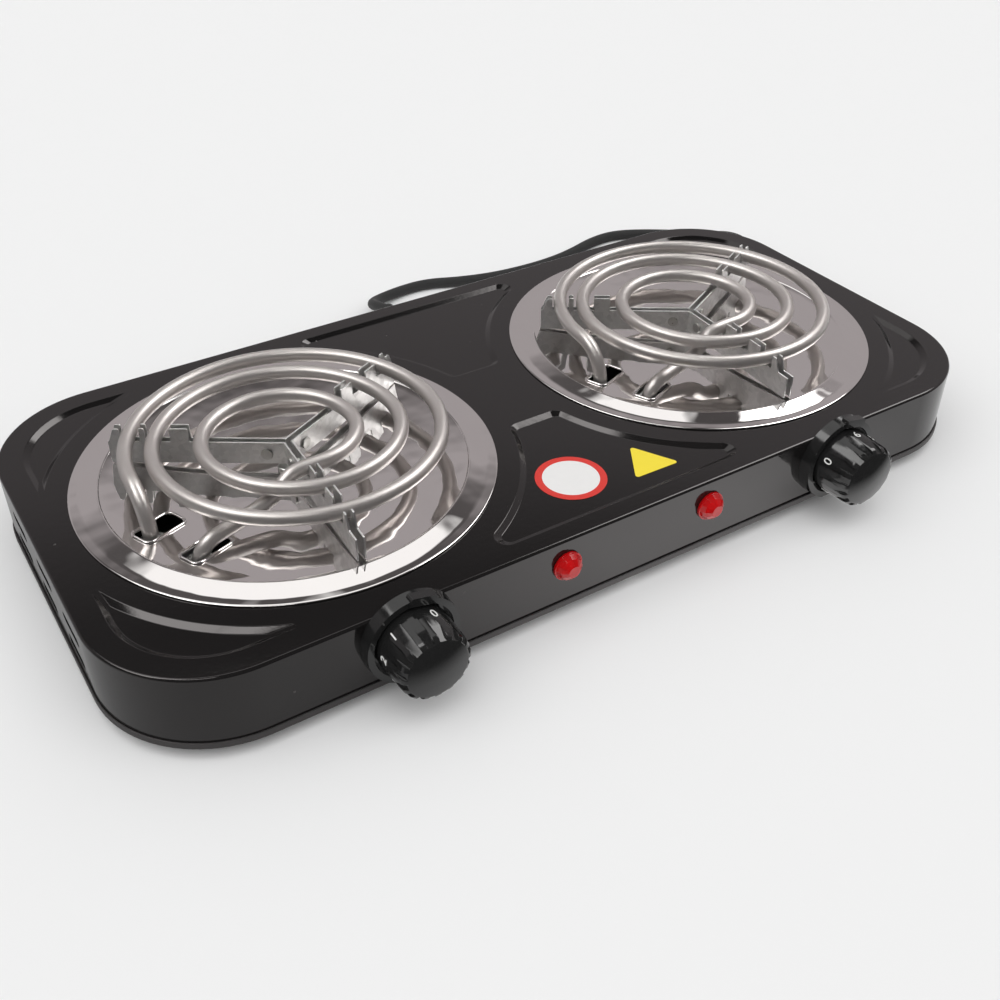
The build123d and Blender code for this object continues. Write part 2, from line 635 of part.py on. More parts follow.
def burner_strap():
    """Cross strap under the bowl; its turned-up ends bear on the underside of the top plate."""
    top = strap_top()
    low = top - STRAP_SHEET
    strap = Pos(0, 0, (top + low) / 2) * Box(2 * STRAP_REACH, STRAP_WIDTH, STRAP_SHEET)
    height = PLATE_Z - SHEET - SEAT_GAP - low
    for side in (-1, 1):
        x = side * (STRAP_REACH - STRAP_SHEET / 2)
        strap += Pos(x, 0, low + height / 2) * Box(STRAP_SHEET, STRAP_WIDTH, height)
        strap += Pos(side * (STRAP_REACH + STRAP_LIP / 2), 0, low + height - STRAP_SHEET / 2) * Box(
            STRAP_LIP, STRAP_WIDTH, STRAP_SHEET)
    strap = Rot(0, 0, strap_angle()) * strap
    strap -= cylinder(*plate_screw_place(), low - 1, top + 1, DIAL_SCREW_RADIUS + LOOSE_GAP)
    return strap - cylinder(0, 0, low - 1, top + 1, BOLT_RADIUS + LOOSE_GAP)


def plate_screw_place():
    """Middle between the coil's legs."""
    return (OUTER_LEG[0] + INNER_LEG[0]) / 2, (OUTER_LEG[1] + INNER_LEG[1]) / 2


def terminal_plate():
    """Plate swaged on both cold ends, under the strap."""
    top = strap_top() - STRAP_SHEET - SEAT_GAP
    low = top - LEG_PLATE_SHEET
    radius = TUBE_RADIUS + LEG_PLATE_MARGIN
    rounds = Sketch() + [Pos(*leg) * Circle(radius) for leg in (OUTER_LEG, INNER_LEG)]
    outline = make_hull(rounds.edges())
    plate = extrude(Plane.XY.offset(low) * outline, top - low)
    for leg in (OUTER_LEG, INNER_LEG):
        plate -= cylinder(*leg, low - 1, top + 1, TUBE_RADIUS + SEAT_GAP)
    return plate - cylinder(*plate_screw_place(), low - 1, top + 1, DIAL_SCREW_RADIUS + LOOSE_GAP)


def plate_screw():
    """Screw that holds the terminal plate to the strap."""
    low = strap_top() - STRAP_SHEET - SEAT_GAP - LEG_PLATE_SHEET
    return screw(*plate_screw_place(), low, LEG_PLATE_SHEET + STRAP_SHEET + 2, DIAL_SCREW_HEAD_RADIUS,
                 DIAL_SCREW_HEAD, DIAL_SCREW_RADIUS)


def pan_bolt():
    """Bolt through the bowl's middle and the strap."""
    head_low = PLATE_Z - BOWL_DEPTH + SEAT_GAP
    low = strap_top() - STRAP_SHEET - NUT_HEIGHT - 2
    head = cylinder(0, 0, head_low, head_low + BOLT_HEAD, BOLT_HEAD_RADIUS)
    return fillet(head.edges().sort_by(Axis.Z)[-1], BOLT_HEAD / 2) + cylinder(0, 0, low, head_low, BOLT_RADIUS)


def pan_nut():
    """Hexagon nut under the strap."""
    top = strap_top() - STRAP_SHEET - SEAT_GAP
    nut = extrude(Plane.XY.offset(top - NUT_HEIGHT) * RegularPolygon(NUT_FLATS / 2, 6, major_radius=False),
                  NUT_HEIGHT)
    return nut - cylinder(0, 0, top - NUT_HEIGHT - 1, top + 1, BOLT_RADIUS + SEAT_GAP)


BURNER_PIECES = {
    "drip_pan": drip_pan, "heating_coil": heating_coil, "coil_supports": coil_supports,
    "support_rivets": support_rivets, "terminal_insulators": terminal_insulators,
    "terminal_pins": terminal_pins, "burner_strap": burner_strap, "terminal_plate": terminal_plate,
    "plate_screw": plate_screw, "pan_bolt": pan_bolt, "pan_nut": pan_nut,
}


# ================================================================ dials
def turned(points, y, z, x=0.0):
    """A solid turned about an axis along Y, from (radius, distance towards the viewer from `y`) points."""
    profile = make_face(Polyline(*[(radius, -reach, 0) for radius, reach in points], close=True))
    return Pos(x, y, z) * revolve(profile, Axis.Y)


def dial_screw_places():
    """X of the two screws beside a dial's axis."""
    return (-DIAL_SCREW_SPACING / 2, DIAL_SCREW_SPACING / 2)


def shaft_section(radius, flat):
    """D-shaped section of a shaft or of the bore that fits it."""
    return Circle(radius) - Pos(0, radius + flat) * Rectangle(2 * radius, 2 * radius)


def shaft_plane(reach):
    """Plane across the dial's axis, at a distance from the front wall."""
    return Plane(origin=(0, FRONT_Y - reach, DIAL_Z), x_dir=(1, 0, 0), z_dir=(0, 1, 0))


def knob():
    """Hollow tapered knob with a domed face, grip notches at its front and a bored boss for the shaft."""
    cap = turned([(0, KNOB_BACK), (KNOB_RADIUS, KNOB_BACK), (KNOB_FRONT_RADIUS, KNOB_FRONT), (0, KNOB_FRONT)],
                 FRONT_Y, DIAL_Z)
    cap &= Pos(0, FRONT_Y - KNOB_FRONT + KNOB_CROWN_RADIUS, DIAL_Z) * Sphere(KNOB_CROWN_RADIUS)
    cap = fillet(cap.edges().filter_by(lambda edge: edge.is_closed).sort_by(Axis.Y)[0], KNOB_EDGE)
    floor = KNOB_FRONT - KNOB_FACE
    behind = KNOB_BACK - 1
    cap -= turned([(0, behind), (KNOB_RADIUS - KNOB_WALL, behind), (KNOB_FRONT_RADIUS - KNOB_WALL, floor),
                   (BOSS_RADIUS, floor), (BOSS_RADIUS, BOSS_BACK), (0, BOSS_BACK)], FRONT_Y, DIAL_Z)
    notch = Pos(0, 0, KNOB_FRONT_RADIUS) * Box(GRIP_NOTCH_WIDTH, GRIP_LENGTH, 2 * GRIP_NOTCH_DEPTH)
    for step in range(GRIP_NOTCHES):
        cap -= Pos(0, FRONT_Y - KNOB_FRONT + GRIP_LENGTH / 2, DIAL_Z) * Rot(
            0, (step + 0.5) * 360 / GRIP_NOTCHES, 0) * notch
    section = shaft_section(SHAFT_RADIUS + RUNNING_CLEARANCE, SHAFT_FLAT + RUNNING_CLEARANCE)
    return cap - extrude(shaft_plane(SHAFT_FRONT + SEAT_GAP) * section, SHAFT_FRONT - BOSS_BACK + 1)


def thermostat_shaft():
    """Round spindle with a flat where the knob sits."""
    shaft = rod(0, DIAL_Z, SHAFT_FRONT - SHAFT_FLAT_LENGTH, -SHAFT_BACK, SHAFT_RADIUS)
    return shaft + extrude(shaft_plane(SHAFT_FRONT) * shaft_section(SHAFT_RADIUS, SHAFT_FLAT), SHAFT_FLAT_LENGTH)


def bezel():
    """Ring round the knob with a floor, trimmed over the tray's rim, and a raised pointer."""
    ring = turned([(BEZEL_HOLE, SEAT_GAP), (BEZEL_RADIUS, SEAT_GAP), (BEZEL_FRONT_RADIUS, BEZEL_HEIGHT),
                   (BEZEL_BORE, BEZEL_HEIGHT), (BEZEL_BORE, BEZEL_FLOOR), (BEZEL_HOLE, BEZEL_FLOOR)],
                  FRONT_Y, DIAL_Z)
    pointer = Box(POINTER_WIDTH, POINTER_DEPTH, POINTER_REACH - BEZEL_BORE)
    pointer = Pos(0, POINTER_DEPTH / 2 - POINTER_FRONT, (POINTER_REACH + BEZEL_BORE) / 2) * pointer
    pointer = fillet(pointer.edges().filter_by(Axis.Y).group_by(Axis.Z)[-1], POINTER_ROUND)
    ring += Pos(0, FRONT_Y, DIAL_Z) * Rot(0, 90 - POINTER_ANGLE, 0) * pointer
    trim = FOOT_HEIGHT + RIM_HEIGHT + SEAT_GAP
    ring -= Pos(0, FRONT_Y, trim - BEZEL_RADIUS) * Box(3 * BEZEL_RADIUS, 3 * BEZEL_RADIUS, 2 * BEZEL_RADIUS)
    for x in dial_screw_places():
        ring -= rod(x, DIAL_Z, BEZEL_HEIGHT, -1, DIAL_SCREW_RADIUS + LOOSE_GAP)
    return ring


def bracket_screws():
    """Two screws through bezel, cover and bracket, hidden behind the knob."""
    head = BEZEL_FLOOR + SEAT_GAP
    return group(rod(x, DIAL_Z, head + DIAL_SCREW_HEAD, head, DIAL_SCREW_HEAD_RADIUS)
                 + rod(x, DIAL_Z, head, head - DIAL_SCREW_LENGTH, DIAL_SCREW_RADIUS)
                 for x in dial_screw_places())


def thermostat_bracket():
    """Steel plate behind the front wall that the thermostat hangs on."""
    y = FRONT_Y + SHEET + SEAT_GAP + BRACKET_SHEET / 2
    plate = moved(Box(BRACKET_WIDTH, BRACKET_SHEET, BRACKET_HEIGHT), 0, y, DIAL_Z)
    plate -= rod(0, DIAL_Z, 0, -SHEET - BRACKET_SHEET - 1, BEZEL_HOLE)
    for x in dial_screw_places():
        plate -= rod(x, DIAL_Z, 0, -SHEET - BRACKET_SHEET - 1, DIAL_SCREW_RADIUS + SEAT_GAP)
    return plate


def thermostat_front():
    """Distance from the front wall's face back to the thermostat."""
    return SHEET + BRACKET_SHEET + 2 * SEAT_GAP


def thermostat():
    """Thermostat block with a blind bearing for its shaft and room for the screw ends."""
    y = FRONT_Y + thermostat_front() + THERMOSTAT_DEPTH / 2
    block = moved(Box(THERMOSTAT_WIDTH, THERMOSTAT_DEPTH, THERMOSTAT_HEIGHT), 0, y, DIAL_Z)
    block -= rod(0, DIAL_Z, 0, -SHAFT_BACK - SEAT_GAP, SHAFT_RADIUS + RUNNING_CLEARANCE)
    for x in dial_screw_places():
        block -= rod(x, DIAL_Z, 0, -DIAL_SCREW_LENGTH, DIAL_SCREW_RADIUS + SEAT_GAP)
    return block


def lamp_lens():
    """Faceted red lens with a hollow stem through the front wall."""
    plane = Plane(origin=(0, FRONT_Y - LENS_FLANGE, LAMP_Z), x_dir=(1, 0, 0), z_dir=(0, -1, 0))
    rise = LENS_LENGTH - LENS_FLANGE
    rings = [plane.offset(height * rise) * RegularPolygon(width * LENS_RADIUS, LENS_FACETS)
             for height, width in LENS_RINGS]
    lens = loft(rings, ruled=True) + rod(0, LAMP_Z, LENS_FLANGE, SEAT_GAP, LENS_RADIUS)
    lens += rod(0, LAMP_Z, LENS_FLANGE, -SHEET - LENS_STEM, LENS_STEM_RADIUS)
    return lens - rod(0, LAMP_Z, LENS_FLANGE, -SHEET - LENS_STEM - 1, LENS_STEM_RADIUS - LENS_WALL)


def lamp_housing():
    """Sleeve pushed over the lens stem from inside."""
    front = -SHEET - SEAT_GAP
    back = front - LAMP_HOUSING_LENGTH
    sleeve = rod(0, LAMP_Z, front, back, LAMP_HOUSING_RADIUS)
    sleeve -= rod(0, LAMP_Z, 0, -SHEET - LENS_STEM - SEAT_GAP, LENS_STEM_RADIUS + SEAT_GAP)
    return sleeve - rod(0, LAMP_Z, front, back + LENS_WALL, BULB_RADIUS + LOOSE_GAP)


def neon_bulb():
    """Round-ended glow lamp inside the sleeve."""
    back = -SHEET - LAMP_HOUSING_LENGTH + LENS_WALL
    bulb = rod(0, LAMP_Z, back + BULB_LENGTH, back, BULB_RADIUS)
    return fillet(bulb.edges().sort_by(Axis.Y)[0], BULB_RADIUS / 2)


DIAL_PIECES = {
    "knob": knob, "thermostat_shaft": thermostat_shaft, "bezel": bezel, "bracket_screws": bracket_screws,
    "thermostat_bracket": thermostat_bracket, "thermostat": thermostat,
}
LAMP_PIECES = {"lamp_lens": lamp_lens, "lamp_housing": lamp_housing, "neon_bulb": neon_bulb}


# ================================================================ mains terminals and wiring
def pole_places():
    """X of each pole of the terminal block."""
    return [BLOCK_PLACE[0] + (pole - (BLOCK_POLES - 1) / 2) * BLOCK_POLE_PITCH for pole in range(BLOCK_POLES)]


def terminal_block():
    """Ceramic block with a screw well over each pole."""
    length, width, height = BLOCK_SIZE
    low = FLOOR_Z + SEAT_GAP
    block = moved(Box(length, width, height), *BLOCK_PLACE, low + height / 2)
    for x in pole_places():
        block -= cylinder(x, BLOCK_PLACE[1], low + height - BLOCK_SCREW_DEPTH, low + height + 1,
                          BLOCK_SCREW_RADIUS + LOOSE_GAP)
    return block


def block_screws():
    """Slotted clamping screws in the wells."""
    low = FLOOR_Z + 2 * SEAT_GAP + BLOCK_SIZE[2] - BLOCK_SCREW_DEPTH
    slot = Box(3 * BLOCK_SCREW_RADIUS, BLOCK_SCREW_SLOT, 2 * BLOCK_SCREW_SLOT)
    return group(cylinder(x, BLOCK_PLACE[1], low, low + BLOCK_SCREW_HEIGHT, BLOCK_SCREW_RADIUS)
                 - moved(slot, x, BLOCK_PLACE[1], low + BLOCK_SCREW_HEIGHT) for x in pole_places())


def earth_screw():
    """Screw up through the tray that takes the earth lead."""
    return screw(*EARTH_PLACE, FOOT_HEIGHT, EARTH_SCREW_LENGTH, SCREW_HEAD_RADIUS, SCREW_HEAD, SCREW_RADIUS)


def lead(*points):
    """An insulated wire with the same bend at each corner."""
    return tube(points, [WIRE_BEND] * (len(points) - 2), WIRE_RADIUS)


def burner_leads(side):
    """Leads of one burner: block to thermostat, thermostat to coil, coil to block, thermostat to lamp."""
    dial = side * DIAL_X
    burner = side * BURNER_SPACING / 2
    poles = pole_places()
    live = poles[0] + side * WIRE_SPREAD
    neutral = poles[1] + side * WIRE_SPREAD
    block = BLOCK_PLACE[1] - BLOCK_SIZE[1] / 2 - SEAT_GAP
    floor = FLOOR_Z + WIRE_RADIUS + SEAT_GAP
    pin = LEG_END_Z - SEAT_GAP - (INSULATOR_LENGTH + PIN_LENGTH) / 2
    tab = THERMOSTAT_WIDTH / 3
    rear = FRONT_Y + thermostat_front() + THERMOSTAT_DEPTH + SEAT_GAP
    high = DIAL_Z - THERMOSTAT_HEIGHT / 4
    cross = (OUTER_LEG[1] + INNER_LEG[1]) / 2
    link = INNER_LEG[1] - LINK_DROP
    reach = PIN_RADIUS + SEAT_GAP
    lamp = side * LAMP_X
    lamp_rear = FRONT_Y + SHEET + LAMP_HOUSING_LENGTH + 2 * SEAT_GAP
    flank = dial - side * (THERMOSTAT_WIDTH / 2 + SEAT_GAP)
    beside = flank - side * WIRE_RUN
    middle = rear - THERMOSTAT_DEPTH / 2
    return [
        lead((live, block, floor), (live, cross, floor), (dial + tab, cross, floor),
             (dial + tab, rear + WIRE_RUN, floor), (dial + tab, rear + WIRE_RUN, high), (dial + tab, rear, high)),
        lead((dial - tab, rear, high), (dial - tab, rear + WIRE_RUN, high), (dial - tab, rear + WIRE_RUN, pin),
             (dial - tab, link, pin), (burner + INNER_LEG[0], link, pin),
             (burner + INNER_LEG[0], INNER_LEG[1] - reach, pin)),
        lead((burner + OUTER_LEG[0], OUTER_LEG[1] + reach, pin), (burner + OUTER_LEG[0], RETURN_Y, pin),
             (neutral, RETURN_Y, pin), (neutral, block, pin)),
        lead((lamp, lamp_rear, LAMP_Z), (lamp, lamp_rear + WIRE_RUN, LAMP_Z), (beside, lamp_rear + WIRE_RUN, LAMP_Z),
             (beside, middle, LAMP_Z), (flank, middle, LAMP_Z)),
    ]


def earth_lead():
    """Lead from the block's last pole to the earth screw."""
    pole = pole_places()[-1]
    block = BLOCK_PLACE[1] - BLOCK_SIZE[1] / 2 - SEAT_GAP
    floor = FLOOR_Z + WIRE_RADIUS + SEAT_GAP
    x, y = EARTH_PLACE
    return lead((pole, block, floor), (pole, block - WIRE_RUN, floor), (x, block - WIRE_RUN, floor),
                (x, y - SCREW_RADIUS - SEAT_GAP, floor))


def supply_cores():
    """The cord's three cores, from the gland to the block."""
    start = REAR_Y - SHEET - GLAND_COLLAR_LENGTH - 2 * SEAT_GAP
    block = BLOCK_PLACE[1] + BLOCK_SIZE[1] / 2 + SEAT_GAP
    middle = FLOOR_Z + BLOCK_SIZE[2] / 2
    cores = []
    for pole, x in enumerate(pole_places()):
        origin = GLAND_X + (pole - (BLOCK_POLES - 1) / 2) * CORE_SPREAD
        cores.append(lead((origin, start, GLAND_Z), (origin, start - WIRE_RUN * 3 / 4, GLAND_Z),
                          (x, block + WIRE_RUN * 3 / 4, middle), (x, block, middle)))
    return group(cores)


# ================================================================ cord
def cord_gland():
    """Strain relief snapped into the rear wall, with a ribbed sleeve outside."""
    wall = SHEET + SEAT_GAP
    flange = SEAT_GAP + GLAND_COLLAR_LENGTH
    gland = turned([(0, wall + GLAND_COLLAR_LENGTH), (GLAND_COLLAR, wall + GLAND_COLLAR_LENGTH),
                    (GLAND_COLLAR, wall), (GLAND_RADIUS, wall), (GLAND_RADIUS, -SEAT_GAP),
                    (GLAND_COLLAR, -SEAT_GAP), (GLAND_COLLAR, -flange), (GLAND_RADIUS, -flange),
                    (GLAND_TIP_RADIUS, -GLAND_LENGTH), (0, -GLAND_LENGTH)], REAR_Y, GLAND_Z, GLAND_X)
    pitch = (GLAND_LENGTH - flange) / (GLAND_GROOVES + 1)
    for groove in range(GLAND_GROOVES):
        middle = flange + (groove + 1) * pitch
        radius = GLAND_RADIUS + (GLAND_TIP_RADIUS - GLAND_RADIUS) * (middle - flange) / (GLAND_LENGTH - flange)
        near, far = -middle + GLAND_GROOVE_WIDTH / 2, -middle - GLAND_GROOVE_WIDTH / 2
        gland -= turned([(radius - GLAND_GROOVE_DEPTH, near), (GLAND_COLLAR, near), (GLAND_COLLAR, far),
                         (radius - GLAND_GROOVE_DEPTH, far)], REAR_Y, GLAND_Z, GLAND_X)
    return gland


def bend_radii(points):
    """The radius at each inner point: 0.45 of its shorter run over the tangent of half its turn."""
    radii = []
    for before, here, after in zip(points, points[1:], points[2:]):
        come, leave = Vector(here) - Vector(before), Vector(after) - Vector(here)
        turn = math.radians(come.get_angle(leave))
        radii.append(0.45 * min(come.length, leave.length) / math.tan(turn / 2))
    return radii


def coil_height():
    """Height of the cord's centre in the coil, which lies on its tie."""
    return TIE_THICKNESS + SEAT_GAP + CORD_RADIUS


def cord_points():
    """The cord's route from the gland to the coil's outer turn."""
    angle = math.radians(COIL_ENTRY_ANGLE)
    start = (GLAND_X, REAR_Y + GLAND_LENGTH + SEAT_GAP, GLAND_Z)
    end = (COIL_PLACE[0] + COIL_OUTER_TURN * math.cos(angle), COIL_PLACE[1] + COIL_OUTER_TURN * math.sin(angle),
           coil_height())
    return [start, *((x, REAR_Y + behind, z) for x, behind, z in CORD_ROUTE), end]


def tail_points():
    """The cord's route from the coil to the plug."""
    route = [(BODY_LENGTH / 2 + beside, REAR_Y + behind, z) for beside, behind, z in TAIL_ROUTE]
    return [*route, (PLUG_X, PLUG_NECK_END + SEAT_GAP, PLUG_HEIGHT / 2)]


def cord_tube(points):
    """The cord along a route, with the widest bends that its runs allow."""
    radii = bend_radii(points)
    length = sum((Vector(b) - Vector(a)).length for a, b in zip(points, points[1:]))
    print(f"cord route {length:.0f} mm long, bend radii", [round(radius) for radius in radii])
    solid = tube(points, radii, CORD_RADIUS)
    print(f"cord volume over section times route {solid.volume / (math.pi * CORD_RADIUS ** 2 * length):.4f}")
    return solid


def power_cord():
    return cord_tube(cord_points())


def cord_tail():
    return cord_tube(tail_points())


def cord_coil():
    """Outer shape of the cord's two turns, side by side on the table."""
    middle = (COIL_OUTER_TURN + COIL_INNER_TURN) / 2
    width = COIL_OUTER_TURN - COIL_INNER_TURN + 2 * CORD_RADIUS
    section = Plane.XZ * Pos(middle, coil_height()) * RectangleRounded(width, 2 * CORD_RADIUS, CORD_RADIUS * 0.9)
    return moved(revolve(section, Axis.Z), *COIL_PLACE)


def cord_tie():
    """Flat tie round both turns."""
    middle = (COIL_OUTER_TURN + COIL_INNER_TURN) / 2
    width = COIL_OUTER_TURN - COIL_INNER_TURN + 2 * (CORD_RADIUS + LOOSE_GAP)
    height = 2 * (CORD_RADIUS + SEAT_GAP)
    loop = RectangleRounded(width + 2 * TIE_THICKNESS, height + 2 * TIE_THICKNESS, CORD_RADIUS)
    loop -= RectangleRounded(width, height, CORD_RADIUS * 0.7)
    tie = extrude(Plane.XZ * Pos(middle, coil_height()) * loop, TIE_WIDTH / 2, both=True)
    return Pos(*COIL_PLACE, 0) * Rot(0, 0, TIE_ANGLE) * tie


def plug_sections(distance):
    """Plane across the plug, at a distance from its neck's end."""
    return Plane(origin=(PLUG_X, PLUG_NECK_END - distance, PLUG_HEIGHT / 2), x_dir=(1, 0, 0), z_dir=(0, -1, 0))


def plug_body():
    """Moulded plug: a neck, a taper and a rounded block with holes for its blades."""
    face = RectangleRounded(PLUG_WIDTH, PLUG_HEIGHT, PLUG_ROUND)
    shoulder = PLUG_NECK + PLUG_TAPER
    front = shoulder + PLUG_LENGTH
    body = extrude(plug_sections(0) * Circle(PLUG_NECK_RADIUS), PLUG_NECK)
    body += loft([plug_sections(PLUG_NECK) * Circle(PLUG_NECK_RADIUS), plug_sections(shoulder) * face])
    body += extrude(plug_sections(shoulder) * face, PLUG_LENGTH)
    body = fillet(body.faces().sort_by(Axis.Y)[0].edges(), PLUG_EDGE)
    for shape in blade_sections(SEAT_GAP):
        body -= extrude(plug_sections(front - BLADE_DEPTH) * shape, BLADE_DEPTH + 1)
    return body


def blade_sections(margin):
    """Sections of the two blades and the earth pin, grown by a margin."""
    blade = Rectangle(BLADE_THICKNESS + 2 * margin, BLADE_WIDTH + 2 * margin)
    blades = [Pos(side * BLADE_SPACING / 2, BLADE_RISE) * blade for side in SIDES.values()]
    return blades + [Pos(0, -2 * BLADE_RISE) * Circle(EARTH_PIN_RADIUS + margin)]


def plug_pins():
    """Two flat blades and a round earth pin."""
    depth = PLUG_NECK + PLUG_TAPER + PLUG_LENGTH - BLADE_DEPTH + SEAT_GAP
    return group(extrude(plug_sections(depth) * shape, BLADE_DEPTH + BLADE_LENGTH) for shape in blade_sections(0))


# ================================================================ decals
def round_decal():
    """Round film on the front middle panel."""
    low = PANEL_Z + SEAT_GAP
    return cylinder(*ROUND_DECAL_PLACE, low, low + DECAL_SHEET, ROUND_DECAL_RADIUS)


def triangle_decal():
    """Three-cornered film on the front middle panel."""
    outline = fillet(Triangle(a=TRIANGLE_SIDE, b=TRIANGLE_SIDE, c=TRIANGLE_SIDE,
                              align=(Align.CENTER, Align.NONE)).vertices(), TRIANGLE_CORNER)
    return extrude(Pos(*TRIANGLE_PLACE, PANEL_Z + SEAT_GAP) * Rot(0, 0, TRIANGLE_TURN) * outline, DECAL_SHEET)


SINGLE_PIECES = {
    "body_shell": body_shell, "base_plate": base_plate, "base_screws": base_screws, "foot_pads": foot_pads,
    "foot_screws": foot_screws, "terminal_block": terminal_block, "block_screws": block_screws,
    "earth_screw": earth_screw, "supply_cores": supply_cores, "cord_gland": cord_gland,
    "power_cord": power_cord, "cord_coil": cord_coil, "cord_tail": cord_tail, "cord_tie": cord_tie,
    "plug_body": plug_body, "plug_pins": plug_pins, "round_decal": round_decal,
    "triangle_decal": triangle_decal,
}


def build_all():
    """Every node by name, about the body's centre in plan."""
    nodes = {name: make() for name, make in SINGLE_PIECES.items()}
    for pieces, distance in ((BURNER_PIECES, BURNER_SPACING / 2), (DIAL_PIECES, DIAL_X), (LAMP_PIECES, LAMP_X)):
        for name, make in pieces.items():
            piece = make()
            for side, sign in SIDES.items():
                nodes[f"{side}_{name}"] = moved(piece, sign * distance)
    nodes["left_leads"] = group(burner_leads(SIDES["left"]))
    nodes["right_leads"] = group(burner_leads(SIDES["right"]) + [earth_lead()])
    return nodes


def main():
    os.makedirs("parts", exist_ok=True)
    for name, shape in build_all().items():
        export_step(moved(shape, y=BODY_SHIFT), f"parts/{name}.step")


if __name__ == "__main__":
    main()
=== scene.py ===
"""Twin coil hot plate, finished round its packed CAD frame.

Metres, in the frame's own axes: X along the body, Y from the dials to the back, Z up from the table.
"""

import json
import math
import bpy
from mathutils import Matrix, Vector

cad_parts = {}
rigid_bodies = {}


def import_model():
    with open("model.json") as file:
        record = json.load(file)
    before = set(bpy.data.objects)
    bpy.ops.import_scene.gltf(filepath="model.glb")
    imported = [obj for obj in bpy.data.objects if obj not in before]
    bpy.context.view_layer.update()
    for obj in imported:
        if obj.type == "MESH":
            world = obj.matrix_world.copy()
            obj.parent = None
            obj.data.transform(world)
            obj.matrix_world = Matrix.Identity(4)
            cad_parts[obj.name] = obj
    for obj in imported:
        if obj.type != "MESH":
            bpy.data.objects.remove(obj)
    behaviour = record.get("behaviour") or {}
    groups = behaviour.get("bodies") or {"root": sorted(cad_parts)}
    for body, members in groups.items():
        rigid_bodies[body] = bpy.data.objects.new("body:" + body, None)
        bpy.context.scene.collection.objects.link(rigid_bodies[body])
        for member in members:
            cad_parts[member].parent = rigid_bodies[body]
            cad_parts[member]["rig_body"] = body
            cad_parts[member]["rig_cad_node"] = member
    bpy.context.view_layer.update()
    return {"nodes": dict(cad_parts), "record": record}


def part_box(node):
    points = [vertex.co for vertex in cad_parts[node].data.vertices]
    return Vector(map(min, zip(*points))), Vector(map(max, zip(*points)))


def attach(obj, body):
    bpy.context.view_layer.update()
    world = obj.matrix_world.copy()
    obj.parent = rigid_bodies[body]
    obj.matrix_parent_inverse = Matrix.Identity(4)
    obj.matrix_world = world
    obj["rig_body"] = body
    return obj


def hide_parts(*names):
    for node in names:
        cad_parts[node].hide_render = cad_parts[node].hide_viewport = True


bl_info = {
    "name": "Twin Coil Hot Plate",
    "version": (1, 0, 0),
    "blender": (4, 5, 0),
    "location": "3D View > Sidebar > Hot Plate",
    "description": "Cover, coils, dials, cord and studio of a twin coil hot plate, built round its CAD frame",
    "category": "Object",
}

from contextlib import contextmanager

import bmesh
import bpy
from bpy.props import FloatProperty, FloatVectorProperty, IntProperty, PointerProperty
from mathutils import Matrix, Vector

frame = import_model()

MM = 0.001
SIDES = ("left", "right")
SIGNS = {"left": -1, "right": 1}
TINY = 1e-6                             # heights closer than this are the same
WELD = 1e-7                             # vertices closer than this become one


def middle(node):
    """Centre of a CAD node's box."""
    low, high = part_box(node)
    return (low + high) / 2


COVER_LOW, COVER_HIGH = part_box("body_shell")
TRAY_LOW, TRAY_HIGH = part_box("base_plate")
PLATE_Z = COVER_HIGH.z
FRONT_Y = COVER_LOW.y
REAR_Y = COVER_HIGH.y
MIDDLE_Y = (FRONT_Y + REAR_Y) / 2
BURNER_X = middle("right_drip_pan").x
KNOB_LOW, KNOB_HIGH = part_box("right_knob")
DIAL = {side: middle(f"{side}_thermostat_shaft") for side in SIDES}
SLOTS = {part["node"]: part["material_slot"] for part in frame["record"]["subparts"]}


# ---------------------------------------------------------------- sizes and colours
def length(name, description, default):
    """A size that a user would change."""
    return FloatProperty(name=name, description=description, default=default, min=0.0, unit="LENGTH")


def tint(name, description, default):
    """A colour that a user would change."""
    return FloatVectorProperty(name=name, description=description, default=default, size=3, min=0.0, max=1.0,
                               subtype="COLOR")


class HotPlateCover(bpy.types.PropertyGroup):
    """Sizes of the pressed cover and its tray."""
    corner: length("Corner radius", "Round corners of the body in plan", 0.051)
    edge: length("Edge radius", "Round edge between the walls and the top plate", 0.0012)
    sheet: length("Sheet", "Thickness of the cover's steel", 0.0008)
    opening: length("Burner opening", "Radius of the hole under each drip pan", 0.084)
    panel_depth: length("Panel depth", "How far the recessed panels lie under the top plate", 0.0016)
    panel_arc: length("Panel arc", "Radius of the panels' hollow sides round each burner", 0.102)
    panel_rim: length("Panel rim", "Width of the slope from the top plate down into a panel", 0.0026)
    corner_inset: length("Corner panel inset", "From the body's outline to a corner panel", 0.011)
    middle_inset: length("Middle panel inset", "From the body's front to the middle panel", 0.0095)
    middle_top: length("Middle panel top", "From the body's middle line to the middle panel", 0.025)
    vent_length: length("Vent length", "Length of a slot in the short sides", 0.021)
    vent_height: length("Vent height", "Height of a slot in the short sides", 0.0045)
    vent_pitch: length("Vent pitch", "Spacing of the slots in a row", 0.037)
    tray_sheet: length("Tray sheet", "Thickness of the tray's steel", 0.0008)


